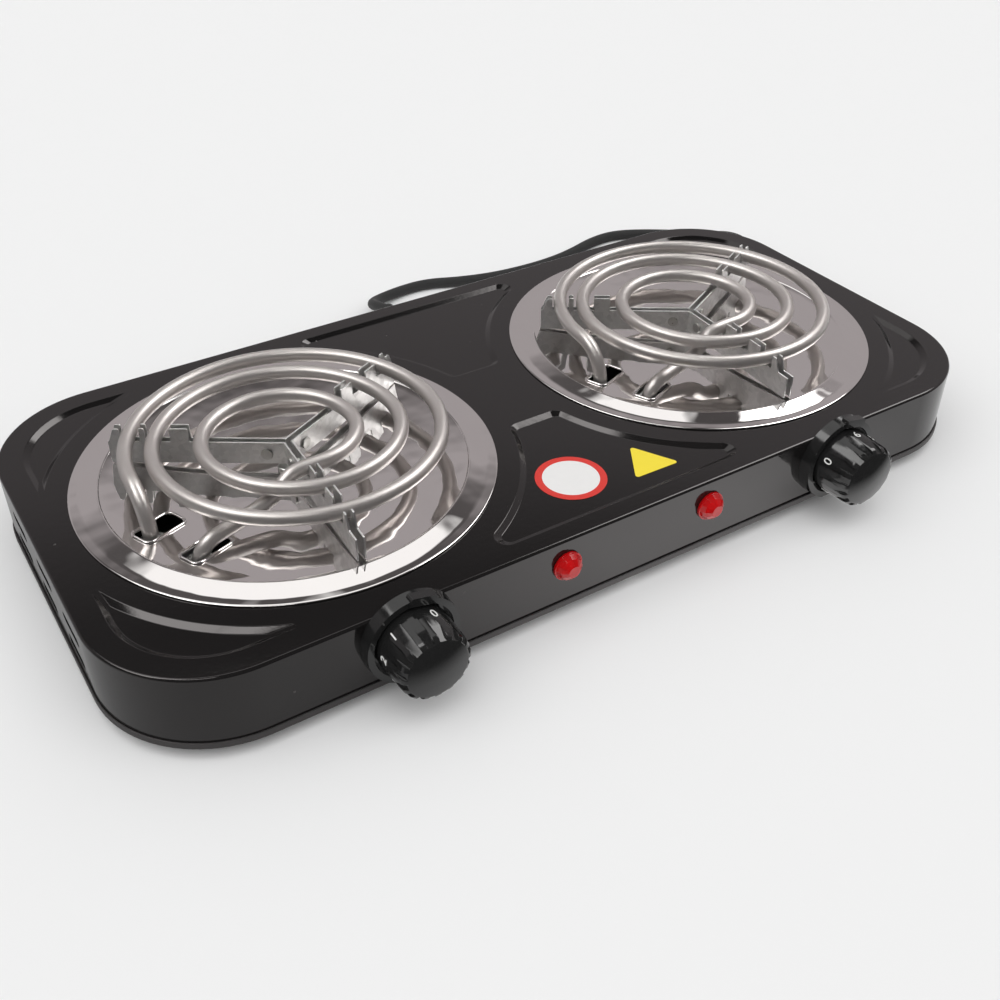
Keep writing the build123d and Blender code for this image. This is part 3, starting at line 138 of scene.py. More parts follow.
class HotPlateBurner(bpy.types.PropertyGroup):
    """Sizes of a drip pan, its coil and the coil's supports."""
    rim: length("Trim radius", "Outer radius of the drip pan's trim ring", 0.092)
    bend: length("Bend radius", "Radius inside which the trim ring rises from its flat lip", 0.0878)
    bend_height: length("Bend height", "Height of the trim ring's bend over the top plate", 0.00095)
    step: length("Step radius", "Radius at which the ring drops into the bowl", 0.0796)
    step_height: length("Step height", "Height of the step over the top plate", 0.0022)
    bowl: length("Bowl radius", "Radius of the shallow bowl", 0.079)
    bowl_rim: length("Bowl rim", "Height of the bowl's rim over the top plate", 0.0017)
    bowl_depth: length("Bowl depth", "Depth of the bowl's middle under the top plate", 0.002)
    sheet: length("Pan sheet", "Thickness of the pan's steel", 0.0008)
    hole_length: length("Hole length", "Length of the pan's holes for the coil's legs", 0.020)
    hole_width: length("Hole width", "Width of the pan's holes for the coil's legs", 0.0105)
    tube: length("Tube radius", "Radius of the coil's sheathed tube", 0.0033)
    arm_sheet: length("Arm sheet", "Thickness of the supports' steel", 0.0008)
    arm_gap: length("Arm gap", "Between the two sheets of an arm", 0.0026)
    arm_reach: length("Arm reach", "Length of an arm from the hub", 0.077)


class HotPlateDial(bpy.types.PropertyGroup):
    """Sizes of a dial's knob and its numbers."""
    radius: length("Knob radius", "Radius of the knob's skirt", 0.0159)
    front_radius: length("Knob front radius", "Radius of the knob at its front", 0.0151)
    dome: length("Knob dome", "Radius of curvature of the knob's face", 0.053)
    grips: IntProperty(name="Grips", description="Number of grip flutes round the knob", default=16, min=6,
                       max=40)
    digit: length("Digit height", "Height of the numbers on the skirt", 0.0042)


class HotPlateColours(bpy.types.PropertyGroup):
    """Colours of the finishes."""
    enamel: tint("Enamel", "Black stove enamel of the body", (0.0060, 0.0056, 0.0056))
    chrome: tint("Chrome", "Bright plating of the drip pans", (0.84, 0.815, 0.805))
    sheath: tint("Sheath", "Satin steel of the coils", (0.44, 0.415, 0.40))
    zinc: tint("Zinc", "Galvanised sheet of the supports", (0.80, 0.80, 0.79))
    phenolic: tint("Phenolic", "Glossy black of the dials", (0.010, 0.010, 0.010))
    lens: tint("Lens", "Clear red of the pilot lamps", (0.72, 0.006, 0.008))
    print: tint("Print", "White of the dials' numbers", (0.82, 0.82, 0.80))
    film_white: tint("White film", "Ground of the round film", (0.84, 0.83, 0.82))
    film_red: tint("Red film", "Ring of the round film", (0.72, 0.045, 0.035))
    film_yellow: tint("Yellow film", "Three-cornered film", (0.80, 0.60, 0.012))
    cord: tint("Cord", "Black sheath of the mains cord", (0.014, 0.014, 0.014))
    floor: tint("Floor", "Pale floor and backdrop", (0.88, 0.88, 0.88))


GROUPS = {
    "hot_plate_cover": HotPlateCover, "hot_plate_burner": HotPlateBurner,
    "hot_plate_dial": HotPlateDial, "hot_plate_colours": HotPlateColours,
}


# ---------------------------------------------------------------- shader maths
def feed(tree, socket, value):
    """Links a signal to a socket, or sets the socket's own value."""
    if isinstance(value, Signal):
        tree.links.new(value.socket, socket)
    elif hasattr(value, "__len__") and len(value) == 3 and len(socket.default_value) == 4:
        socket.default_value = (*value, 1.0)
    else:
        socket.default_value = value


def arithmetic(operation, swapped=False):
    """A method that joins a signal with another value by a Math node."""
    def method(self, other):
        return self.join(operation, *((other, self) if swapped else (self, other)))
    return method


class Signal:
    """A shader socket that takes part in Python arithmetic."""

    __add__ = arithmetic("ADD")
    __radd__ = arithmetic("ADD", True)
    __sub__ = arithmetic("SUBTRACT")
    __rsub__ = arithmetic("SUBTRACT", True)
    __mul__ = arithmetic("MULTIPLY")
    __rmul__ = arithmetic("MULTIPLY", True)
    __truediv__ = arithmetic("DIVIDE")
    __rtruediv__ = arithmetic("DIVIDE", True)

    def __init__(self, tree, socket):
        self.tree = tree
        self.socket = socket

    def join(self, operation, *values):
        """A Math node on these values."""
        node = self.tree.nodes.new("ShaderNodeMath")
        node.operation = operation
        for socket, value in zip(node.inputs, values):
            feed(self.tree, socket, value)
        return Signal(self.tree, node.outputs[0])

    def above(self, limit):
        """1 where the signal is greater than the limit."""
        return self.join("GREATER_THAN", self, limit)

    def below(self, limit):
        """1 where the signal is less than the limit."""
        return self.join("LESS_THAN", self, limit)

    def clipped(self):
        """The signal held between 0 and 1."""
        return self.join("MINIMUM", self.join("MAXIMUM", self, 0.0), 1.0)


class Recipe:
    """The nodes of a material or of the world, round its shader."""

    def __init__(self, owner, shader):
        owner.use_nodes = True
        self.owner = owner
        self.tree = owner.node_tree
        self.shader = self.tree.nodes[shader]

    def set(self, **sockets):
        """Feeds the shader's own sockets, named with underscores for spaces."""
        for name, value in sockets.items():
            feed(self.tree, self.shader.inputs[name.replace("_", " ")], value)

    def add(self, kind, output, settings=None, stops=None, **sockets):
        """A node of a type, with its settings first, then a ramp's stops, then its sockets."""
        node = self.tree.nodes.new(kind)
        for name, value in (settings or {}).items():
            setattr(node, name, value)
        if stops:
            elements = node.color_ramp.elements
            while len(elements) < len(stops):
                elements.new(0.5)
            for element, (position, colour) in zip(elements, stops):
                element.position = position
                element.color = (*colour, 1.0)
        for name, value in sockets.items():
            key = int(name[1:]) if name[0] == "i" and name[1:].isdigit() else name.replace("_", " ")
            feed(self.tree, node.inputs[key], value)
        return Signal(self.tree, node.outputs[output])

    def place(self, scale=(1.0, 1.0, 1.0), shift=(0.0, 0.0, 0.0)):
        """Object coordinates, shifted and then stretched."""
        here = self.add("ShaderNodeTexCoord", "Object")
        return self.add("ShaderNodeMapping", 0, {"vector_type": "TEXTURE"}, Vector=here, Location=shift,
                        Scale=tuple(1.0 / part for part in scale))

    def noise(self, scale, detail, rough=0.55, where=None):
        """Soft noise over the surface."""
        return self.add("ShaderNodeTexNoise", "Fac", Vector=where or self.place(), Scale=scale,
                        Detail=detail, Roughness=rough)

    def mix(self, factor, first, second):
        """Two colours, mixed."""
        return self.add("ShaderNodeMix", 2, {"data_type": "RGBA"}, i0=factor, i6=first, i7=second)

    def bump(self, height, strength, distance):
        """A Bump node's normal."""
        return self.add("ShaderNodeBump", 0, Height=height, Strength=strength, Distance=distance)

    def spread(self, value, low, high, bottom, top):
        """The value from low..high laid out over bottom..top."""
        return self.add("ShaderNodeMapRange", 0, {"clamp": True}, Value=value, i1=low, i2=high, i3=bottom,
                        i4=top)

    def band(self, value, low, high, blur):
        """1 where the value lies between two limits, falling to 0 over a blur at each."""
        return (self.spread(value, low - blur, low + blur, 0.0, 1.0)
                * self.spread(value, high - blur, high + blur, 1.0, 0.0))

    def specks(self, scale, size, share):
        """Small dots, one in some of the cells of a Voronoi pattern."""
        where = self.place()
        near = self.add("ShaderNodeTexVoronoi", "Distance", Vector=where, Scale=scale)
        cell = self.add("ShaderNodeTexVoronoi", "Color", Vector=where, Scale=scale)
        chance = self.add("ShaderNodeSeparateColor", 0, Color=cell)
        return near.below(size) * chance.above(1.0 - share)


def coat(name, **sockets):
    """A new material on the Principled shader."""
    made = Recipe(bpy.data.materials.new(name), "Principled BSDF")
    made.set(**sockets)
    return made


def tinted(name, share=1.0):
    """One of the scene's colours, darkened or lightened to a share."""
    return tuple(part * share for part in getattr(bpy.context.scene.hot_plate_colours, name))


# ---------------------------------------------------------------- finishes
SHEEN = (1.0, 0.955, 0.95, 1.0)         # warm cast of the enamel's gloss
GRAIN_RANGE = (0.3, 0.7)                # where nearly all of a noise's values lie
FILM_RING = 12.6 * MM                   # inner radius of the round film's red ring
FLOOR_SHADE_EDGE = -152.0 * MM                 # painted shade in reflections: they show the pale floor as far forward as this, and painted dark beyond it
FLOOR_SHADE_FADE = 26.0 * MM
# painted shade: the dark that only reflections see on the floor, in front of the dials and towards the left
FLOOR_PAINTED_SHADE = (0.03, 0.03, 0.03)
FLOOR_SHADE_LEFT = (-0.22, 0.0)               # painted shade in reflections: near the body it darkens the floor's mirror image towards the left, over this span of X
FLOOR_PAINTED_GLOW = ((-0.13, 0.0), (0.08, 0.2))    # painted glow in reflections: the floor's mirror image glows in between, rising and falling over these pairs of X

# Finishes whose shades, roughness and bump share one noise. Each has two shades, or a colour of the scene and
# the second shade's share of it, then the noise's scale and detail, the roughness or its range, the bump's
# strength and distance, and the sockets that are the same all over.
GRAINED = {
    "tray_enamel": (((0.030, 0.029, 0.029), (0.042, 0.040, 0.040)), 420.0, 2.0, (0.16, 0.24), (0.08, 0.0003),
                    {"Specular_Tint": SHEEN, "Specular_IOR_Level": 0.8}),
    "zinc_screws": (((0.62, 0.62, 0.60), (0.48, 0.48, 0.46)), 400.0, 4.0, (0.25, 0.45), (0.1, 0.0002),
                    {"Metallic": 1.0}),
    "red_lens": (("lens", 0.62), 520.0, 2.0, (0.05, 0.12), (0.05, 0.0002),
                 {"IOR": 1.49, "Transmission_Weight": 0.25}),
    "black_rubber": (((0.016, 0.016, 0.016), (0.032, 0.031, 0.030)), 800.0, 3.0, 0.72, (0.25, 0.0003), {}),
    "cord_sheath": (("cord", 1.6), 650.0, 3.0, (0.38, 0.50), (0.10, 0.0003), {}),
    "nickel": (((0.74, 0.72, 0.68), (0.62, 0.60, 0.56)), 500.0, 4.0, (0.16, 0.30), None, {"Metallic": 1.0}),
    "fired_ceramic": (((0.72, 0.69, 0.62), (0.60, 0.57, 0.50)), 350.0, 4.0, 0.75, (0.3, 0.0003), {}),
    "dark_phenolic": (((0.030, 0.022, 0.018), (0.055, 0.042, 0.034)), 300.0, 4.0, 0.5, None, {}),
    "lamp_glass": (((0.95, 0.78, 0.62), (0.9, 0.7, 0.55)), 200.0, 3.0, 0.05, None,
                   {"IOR": 1.5, "Transmission_Weight": 0.8}),
    "yellow_film": (("film_yellow", 0.88), 300.0, 4.0, 0.38, (0.05, 0.0002), {"Specular_IOR_Level": 0.4}),
}


def grained(name):
    """A finish from the table of those that rest on one noise."""
    shades, scale, detail, gloss, bump, sockets = GRAINED[name]
    if isinstance(shades[0], str):
        shades = (tinted(shades[0]), tinted(*shades))
    made = coat(name, **sockets)
    grain = made.noise(scale, detail)
    if isinstance(gloss, tuple):
        gloss = made.spread(grain, *GRAIN_RANGE, *gloss)
    made.set(Base_Color=made.mix(grain, *shades), Roughness=gloss)
    if bump:
        made.set(Normal=made.bump(grain, *bump))
    return made.owner


def stove_enamel():
    """Black stove enamel: glossy, faintly pebbled, with a little dust."""
    made = coat("stove_enamel", Specular_Tint=SHEEN, Specular_IOR_Level=0.6)
    cloud = made.noise(9.0, 4.0)
    pebble = made.noise(420.0, 2.0)
    dust = made.specks(150.0, 0.085, 0.05)
    ground = made.mix(cloud, tinted("enamel"), tinted("enamel", 1.6))
    made.set(Base_Color=made.mix(dust * 0.2, ground, (0.20, 0.19, 0.18)),
             Roughness=made.spread(cloud, *GRAIN_RANGE, 0.06, 0.10) + dust * 0.3,
             Normal=made.bump(pebble, 0.05, 0.0003))
    return made.owner


def bright_chrome():
    """Plated sheet: mirror bright, with faint waves and wiped smears."""
    made = coat("bright_chrome", Metallic=1.0)
    wave = made.noise(38.0, 2.0)
    smear = made.noise(60.0, 5.0, 0.65, made.place(scale=(1.0, 0.35, 1.0)))
    made.set(Base_Color=made.mix(smear, tinted("chrome"), tinted("chrome", 0.93)),
             Roughness=made.spread(smear, 0.35, 0.75, 0.02, 0.05),
             Normal=made.bump(wave, 0.10, 0.004))
    return made.owner


def coil_sheath():
    """Satin stainless tube with a warm cast and fine drawing marks."""
    made = coat("coil_sheath", Metallic=1.0)
    cast = made.noise(34.0, 4.0)
    grain = made.noise(900.0, 3.0)
    warm = tuple(part * factor for part, factor in zip(tinted("sheath"), (0.90, 0.86, 0.83)))
    made.set(Base_Color=made.mix(made.spread(cast, 0.35, 0.7, 0.0, 1.0), tinted("sheath"), warm),
             Roughness=made.spread(cast, *GRAIN_RANGE, 0.17, 0.24),
             Normal=made.bump(grain, 0.12, 0.0003))
    return made.owner


def galvanised():
    """Zinc-coated sheet, pale and even, with small spangles."""
    made = coat("galvanised", Metallic=1.0)
    cell = made.add("ShaderNodeTexVoronoi", "Color", Vector=made.place(), Scale=420.0)
    shade = made.add("ShaderNodeSeparateColor", 0, Color=cell)
    fine = made.noise(700.0, 3.0)
    made.set(Base_Color=made.mix(shade, tinted("zinc"), tinted("zinc", 0.86)),
             Roughness=made.spread(shade, 0.0, 1.0, 0.40, 0.50),
             Normal=made.bump(fine, 0.06, 0.0002))
    return made.owner


def gloss_phenolic():
    """Moulded black of the dials: high gloss with light scuffs."""
    made = coat("gloss_phenolic", Specular_IOR_Level=0.55)
    scuff = made.noise(240.0, 5.0, 0.7)
    flow = made.noise(45.0, 2.0)
    made.set(Base_Color=made.mix(scuff, tinted("phenolic"), tinted("phenolic", 1.6)),
             Roughness=made.spread(scuff, 0.4, 0.75, 0.08, 0.22), Normal=made.bump(flow, 0.04, 0.001))
    return made.owner


def dial_print():
    """White print of the numbers, worn in places."""
    made = coat("dial_print", Roughness=0.45)
    wear = made.noise(900.0, 3.0)
    made.set(Base_Color=made.mix(wear.above(0.72), tinted("print"), (0.4, 0.4, 0.39)),
             Normal=made.bump(wear, 0.05, 0.0001))
    return made.owner


def woven_sleeve():
    """Heat-proof woven sleeve of the leads."""
    made = coat("woven_sleeve", Roughness=0.8)
    weave = made.add("ShaderNodeTexWave", "Fac", {"bands_direction": "DIAGONAL"}, Vector=made.place(),
                     Scale=450.0)
    made.set(Base_Color=made.mix(weave, (0.62, 0.59, 0.52), (0.46, 0.43, 0.37)),
             Normal=made.bump(weave, 0.4, 0.0003))
    return made.owner


def round_film():
    """White film with a plain red ring."""
    made = coat("round_film", Specular_IOR_Level=0.4, Roughness=0.36)
    where = made.place(shift=tuple(middle("round_decal")))
    away = made.add("ShaderNodeVectorMath", "Value", {"operation": "LENGTH"}, i0=where)
    fade = made.noise(380.0, 4.0)
    red = made.mix(fade, tinted("film_red"), tinted("film_red", 0.86))
    white = made.mix(fade, tinted("film_white"), tinted("film_white", 0.95))
    made.set(Base_Color=made.mix(away.above(FILM_RING), white, red), Normal=made.bump(fade, 0.05, 0.0002))
    return made.owner


def pale_floor():
    """Pale floor that keeps a soft shadow; reflections see painted shade on it in front of the dials and a
    painted glow near the body.
    """
    made = coat("pale_floor", Roughness=0.9, Specular_IOR_Level=0.1, Emission_Strength=1.0)
    pale = made.mix(made.noise(40.0, 2.0), tinted("floor"), tinted("floor", 0.995))
    place = made.place()
    across, depth = (made.add("ShaderNodeSeparateXYZ", axis, Vector=place) for axis in "XY")
    mirrored = made.add("ShaderNodeLightPath", "Is Glossy Ray")
    # painted shade: glossy rays see the floor go dark in front of the dials, and partly dark towards the left
    # near the body
    near = made.spread(depth, FLOOR_SHADE_EDGE - FLOOR_SHADE_FADE, FLOOR_SHADE_EDGE, 0.0, 1.0)
    left = made.spread(across, *FLOOR_SHADE_LEFT, 1.0, 0.0)
    painted_shade = 1.0 - (1.0 - left * 0.45) * near
    # painted glow: an emission that only reflections see, between these pairs of X near the body
    rise, fall = FLOOR_PAINTED_GLOW
    painted_glow = near * made.spread(across, *rise, 0.0, 0.6) * made.spread(across, *fall, 1.0, 0.0)
    made.set(Base_Color=made.mix(painted_shade * mirrored, pale, FLOOR_PAINTED_SHADE),
             Emission_Color=made.mix(painted_glow * mirrored, (0.0, 0.0, 0.0), (1.0, 0.98, 0.97)))
    return made.owner


FINISHES = {make.__name__: make for make in (
    stove_enamel, bright_chrome, coil_sheath, galvanised, gloss_phenolic, dial_print, woven_sleeve,
    round_film, pale_floor)}
SLOT_FINISHES = {
    "body_enamel": "stove_enamel", "tray_enamel": "tray_enamel", "screw_zinc": "zinc_screws",
    "foot_rubber": "black_rubber", "ceramic": "fired_ceramic", "chrome": "bright_chrome",
    "coil_sheath": "coil_sheath", "galvanised_sheet": "galvanised", "terminal_steel": "zinc_screws",
    "knob_plastic": "gloss_phenolic", "bezel_plastic": "gloss_phenolic",
    "thermostat_plastic": "dark_phenolic", "lens_red": "red_lens", "neon_glass": "lamp_glass",
    "wire_sleeve": "woven_sleeve", "cord_sheath": "cord_sheath", "tie_plastic": "black_rubber",
    "blade_brass": "nickel", "white_film": "round_film", "yellow_film": "yellow_film",
}


def finish(name):
    """The named material, made on its first use."""
    return bpy.data.materials.get(name) or (FINISHES[name]() if name in FINISHES else grained(name))


# ---------------------------------------------------------------- modelling
STEEP = 10.0                            # an upright edge rises this many times as far as it leans
CORNER_STEPS = 24
EDGE_STEPS = 6
SHARP = 0.35                            # edges that turn by more than this, in radians, are softened


def only(*pieces):
    """Selects these pieces alone."""
    bpy.ops.object.select_all(action="DESELECT")
    for piece in pieces:
        piece.select_set(True)
    bpy.context.view_layer.objects.active = pieces[0]


def named(name):
    """Names the object that was just added."""
    piece = bpy.context.object
    piece.name = name
    piece.data.name = name
    return piece


@contextmanager
def editing(piece):
    """Edit mode on one piece."""
    only(piece)
    bpy.ops.object.mode_set(mode="EDIT")
    yield
    bpy.ops.object.mode_set(mode="OBJECT")


def pick(kind, test):
    """Selects the verts, edges or faces of the mesh in edit mode that pass a test, and says how many."""
    bpy.ops.mesh.select_mode(type={"verts": "VERT", "edges": "EDGE", "faces": "FACE"}[kind])
    bpy.ops.mesh.select_all(action="DESELECT")
    data = bpy.context.object.data
    mesh = bmesh.from_edit_mesh(data)
    chosen = [part for part in getattr(mesh, kind) if test(part)]
    for part in chosen:
        part.select = True
    mesh.select_flush_mode()
    bmesh.update_edit_mesh(data)
    return len(chosen)


def block(name, low, high):
    """A cube stretched between two corners."""
    bpy.ops.mesh.primitive_cube_add(size=1.0)
    piece = named(name)
    low, high = Vector(low), Vector(high)
    piece.data.transform(Matrix.Translation((low + high) / 2) @ Matrix.Diagonal((*(high - low), 1.0)))
    return piece


def upright(edge):
    """Whether an edge is vertical."""
    along = edge.verts[0].co - edge.verts[1].co
    return abs(along.z) > STEEP * math.hypot(along.x, along.y)


def at_height(height):
    """A test of whether an edge lies at a height."""
    return lambda edge: all(abs(vert.co.z - height) < TINY for vert in edge.verts)


def rounded_block(name, low, high, corner, edge=0.0):
    """A block with round corners in plan and, where asked, a round top edge."""
    piece = block(name, low, high)
    with editing(piece):
        pick("edges", upright)
        bpy.ops.mesh.bevel(offset=corner, segments=CORNER_STEPS, affect="EDGES")
        if edge:
            pick("edges", at_height(high[2]))
            bpy.ops.mesh.bevel(offset=edge, segments=EDGE_STEPS, affect="EDGES")
    return piece


def drum(name, centre, radius, depth, sides):
    """An upright cylinder round a centre."""
    bpy.ops.mesh.primitive_cylinder_add(vertices=sides, radius=radius, depth=depth)
    piece = named(name)
    piece.data.transform(Matrix.Translation(centre))
    return piece


def outline_face(name, points):
    """A flat face with the given corners."""
    bpy.ops.mesh.primitive_circle_add(vertices=len(points), fill_type="NGON")
    piece = named(name)
    for vertex, point in zip(piece.data.vertices, points):
        vertex.co = point
    return piece


def slab(name, points, shift):
    """A flat outline drawn out by a shift, with its faces outwards."""
    piece = outline_face(name, points)
    with editing(piece):
        pick("faces", lambda part: True)
        bpy.ops.mesh.extrude_region_move(TRANSFORM_OT_translate={"value": shift})
        outward()
    return piece


def lofted(name, first, last):
    """A closed shape between two outlines that have the same number of points."""
    piece = slab(name, first, (0, 0, last[0][2] - first[0][2]))
    for vertex in piece.data.vertices:
        if abs(vertex.co.z - last[0][2]) < TINY:
            nearest = min(range(len(first)), key=lambda spot: math.dist(vertex.co.xy, first[spot][:2]))
            vertex.co = last[nearest]
    return piece


def outward():
    """Turns all faces of the mesh in edit mode outwards."""
    bpy.ops.mesh.select_all(action="SELECT")
    bpy.ops.mesh.remove_doubles(threshold=WELD)
    bpy.ops.mesh.normals_make_consistent(inside=False)


def arc(centre, radius, start, stop, steps):
    """Points along an arc, in degrees."""
    turns = [math.radians(start + (stop - start) * step / steps) for step in range(steps + 1)]
    return [(centre[0] + radius * math.cos(turn), centre[1] + radius * math.sin(turn)) for turn in turns]


def oblong(x, y, reach, radius, steps):
    """Outline with two round ends, their centres a reach to either side of its middle."""
    return arc((x + reach, y), radius, -90.0, 90.0, steps) + arc((x - reach, y), radius, 90.0, 270.0, steps)


def turned(name, section, place, steps):
    """A section of (radius, height) points, closed or ending on the axis, spun round it and set in place."""
    bpy.ops.mesh.primitive_circle_add(vertices=len(section), fill_type="NOTHING")
    piece = named(name)
    for vertex, (radius, height) in zip(piece.data.vertices, section):
        vertex.co = (radius, 0.0, height)
    with editing(piece):
        if pick("edges", lambda edge: all(vert.co.x < WELD for vert in edge.verts)):
            bpy.ops.mesh.delete(type="EDGE")
        bpy.ops.mesh.select_all(action="SELECT")
        bpy.ops.mesh.spin(steps=steps, angle=math.tau, center=(0, 0, 0), axis=(0, 0, 1))
        outward()
    piece.data.transform(place)
    return piece


def modify(piece, kind, **settings):
    """Adds one modifier and applies it."""
    only(piece)
    bpy.ops.object.modifier_add(type=kind)
    modifier = piece.modifiers[-1]
    for name, value in settings.items():
        setattr(modifier, name, value)
    bpy.ops.object.modifier_apply(modifier=modifier.name)


def bevel(piece, width, steps, angle):
    """Rounds the edges that turn by more than an angle."""
    modify(piece, "BEVEL", width=width, segments=steps, limit_method="ANGLE", angle_limit=math.radians(angle))


def cut(piece, *cutters):
    """Cuts the pieces away, and deletes them."""
    for cutter in cutters:
        modify(piece, "BOOLEAN", operation="DIFFERENCE", solver="EXACT", object=cutter)
        bpy.data.objects.remove(cutter)


def joined(name, pieces):
    """Several pieces as one."""
    only(*pieces)
    bpy.ops.object.join()
    return named(name)


def copied(piece, name, place):
    """A copy with its own mesh, set in place by a matrix."""
    only(piece)
    bpy.ops.object.duplicate()
    twin = named(name)
    twin.data.transform(place)
    return twin


def tube_spline(piece, kind, count, radius, steps):
    """The one spline, of a kind and a number of points, of a curve that is as thick as a tube."""
    curve = piece.data
    curve.splines.clear()
    spline = curve.splines.new(kind)
    (spline.bezier_points if kind == "BEZIER" else spline.points).add(count - 1)
    curve.dimensions = "3D"
    curve.bevel_depth = radius
    curve.bevel_resolution = steps
    curve.use_fill_caps = True
    return spline


def meshed(piece, name):
    """The piece, turned from a curve or a text into a mesh."""
    only(piece)
    bpy.ops.object.convert(target="MESH")
    return named(name)


def refined(node, name, width, angle=30.0, steps=2):
    """A copy of a CAD node with merged vertices and softened edges."""
    only(frame["nodes"][node])
    bpy.ops.object.duplicate()
    piece = named(name)
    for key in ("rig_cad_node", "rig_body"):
        if key in piece:
            del piece[key]
    piece.parent = None
    with editing(piece):
        bpy.ops.mesh.select_all(action="SELECT")
        bpy.ops.mesh.remove_doubles(threshold=TINY)
        bpy.ops.mesh.dissolve_limited(angle_limit=math.radians(0.5))
    bevel(piece, width, steps, angle)
    return piece


def hand_over(piece, look, body, nodes=(), smooth=30.0):
    """Shades a finished piece, gives it its finish and its body, and hides the CAD nodes that it stands for.
    """
    only(piece)
    bpy.ops.object.shade_smooth_by_angle(angle=math.radians(smooth))
    modify(piece, "WEIGHTED_NORMAL", keep_sharp=True)
    piece.data.materials.clear()
    piece.data.materials.append(finish(look))
    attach(piece, body)
    if nodes:
        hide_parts(*nodes)
    return piece


def mended(node, name, look, width, angle=30.0, steps=2, smooth=30.0):
    """A refined copy of one of the chassis's CAD nodes, handed over in that node's place."""
    return hand_over(refined(node, name, width, angle, steps), look, "chassis", [node], smooth)


# ---------------------------------------------------------------- camera and cord
CAMERA_PLACE = (-0.2585, -0.4036, 0.3381)
CAMERA_TURN = (52.845, -0.264, -32.461)
CAMERA_LENS = 42.05

CORD_RADIUS = 3.1 * MM
GLAND_TIP = (10.0, 136.05, 20.0)
CORD_ROUTE = (
    (10.0, 146.7, 17.8), (12.5, 162.2, 11.6), (23.0, 175.2, 5.6), (41.0, 182.7, 3.2), (61.0, 183.2, 3.2),
    (80.0, 174.7, 3.2), (100.0, 168.9, 3.2), (122.0, 166.5, 3.2), (145.0, 166.9, 3.2), (165.0, 170.7, 3.2),
    (185.0, 177.5, 3.2), (204.0, 178.9, 3.2), (221.0, 171.2, 3.2), (238.0, 159.2, 3.4),
)
COIL_MIDDLE = (231.5, 121.2)
COIL_HEIGHT = 3.95
COIL_OUTER_TURN = 33.5
COIL_INNER_TURN = 27.0
COIL_ENTRY = 50.0
COIL_STEP = 15.0
COIL_INWARDS = (300.0, 370.0)       # the outer turn moves in to the inner one between these turns
COIL_END = 705.0
TAIL_ROUTE = (
    (249.2, 142.3, 4.6), (256.9, 134.1, 7.8), (261.6, 123.3, 9.8), (261.5, 111.5, 10.2), (259.5, 100.1, 10.3),
    (257.0, 88.5, 7.6), (252.0, 77.2, 4.4), (245.0, 67.2, 4.2), (239.0, 57.7, 7.6), (237.0, 48.75, 10.0),
)


def coil_turns():
    """The put-away turns, clockwise from the entry, the second inside the first."""
    points = []
    first, last = COIL_INWARDS
    for step in range(int(COIL_END / COIL_STEP) + 1):
        turn = step * COIL_STEP
        share = min(max((turn - first) / (last - first), 0.0), 1.0)
        radius = COIL_OUTER_TURN + (COIL_INNER_TURN - COIL_OUTER_TURN) * share * share * (3 - 2 * share)
        angle = math.radians(COIL_ENTRY - turn)
        points.append((COIL_MIDDLE[0] + radius * math.cos(angle), COIL_MIDDLE[1] + radius * math.sin(angle),
                       COIL_HEIGHT))
    return points


class HOTPLATE_OT_camera(bpy.types.Operator):
    """Stand the camera in front of the left dial, looking down along the body"""
    bl_idname = "hotplate.camera"
    bl_label = "Camera"

    def execute(self, context):
        turn = tuple(math.radians(part) for part in CAMERA_TURN)
        bpy.ops.object.camera_add(location=CAMERA_PLACE, rotation=turn)
        camera = named("camera")
        camera.data.lens = CAMERA_LENS
        camera.data.clip_start = 0.01
        context.scene.camera = camera
        return {"FINISHED"}


class HOTPLATE_OT_cord(bpy.types.Operator):
    """Lay the mains cord from its gland to the coil beside the body and on to the plug"""
    bl_idname = "hotplate.cord"
    bl_label = "Cord"

    def execute(self, context):
        points = [GLAND_TIP, *CORD_ROUTE, *coil_turns(), *TAIL_ROUTE]
        bpy.ops.curve.primitive_nurbs_path_add()
        cord = named("mains_cord")
        spline = tube_spline(cord, "NURBS", len(points), CORD_RADIUS, 5)
        for point, place in zip(spline.points, points):
            point.co = (*(part * MM for part in place), 1.0)
        spline.order_u = 3
        spline.use_endpoint_u = True
        spline.resolution_u = 6
        cord.data.materials.clear()
        cord.data.materials.append(finish("cord_sheath"))
        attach(cord, "chassis")
        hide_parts("power_cord", "cord_coil", "cord_tail")
        plug = mended("plug_body", "plug", "cord_sheath", 0.0006)
        blades = mended("plug_pins", "plug_blades", "nickel", 0.0004)
        mended("cord_gland", "strain_relief", "cord_sheath", 0.0003)
        return {"FINISHED"}


# ---------------------------------------------------------------- stage
SUNS = (("left_sun", 192.0, 58.0, 0.95), ("right_sun", 282.0, 58.0, 0.95))   # azimuth, height, strength
SUN_SPREAD = 70.0                   # degrees
FILL = 0.5                          # level of the even light from all round
ROOM = (                            # level of what reflections show, by height over the horizon
    (-90.0, (0.86, 0.86, 0.86)), (-3.0, (0.86, 0.86, 0.86)), (3.0, (0.40, 0.37, 0.375)),
    (34.0, (0.40, 0.37, 0.375)), (41.0, (0.10, 0.092, 0.092)), (62.0, (0.04, 0.038, 0.038)),
    (90.0, (0.03, 0.028, 0.028)),
)
DARK_SIDE = 237.0                   # azimuth of the room's dark side
DARK_LEVEL = (0.09, 0.084, 0.084)
DARK_BLUR = 0.1                     # of the dark side's edge, in the direction's own length
HORIZON_BLUR = 2.0                  # degrees
SOFTBOXES = (                       # turn from the back towards the left, height over the horizon, level
    ((-45.0, 35.0), (46.0, 72.0), 1.15), ((35.0, 95.0), (48.0, 74.0), 4.5),
    ((95.0, 150.0), (64.0, 74.0), 4.5), ((-110.0, -54.0), (38.0, 62.0), 5.0),
)
SOFTBOX_BLUR = 1.5                  # degrees
FLOOR_SIZE = 12.0


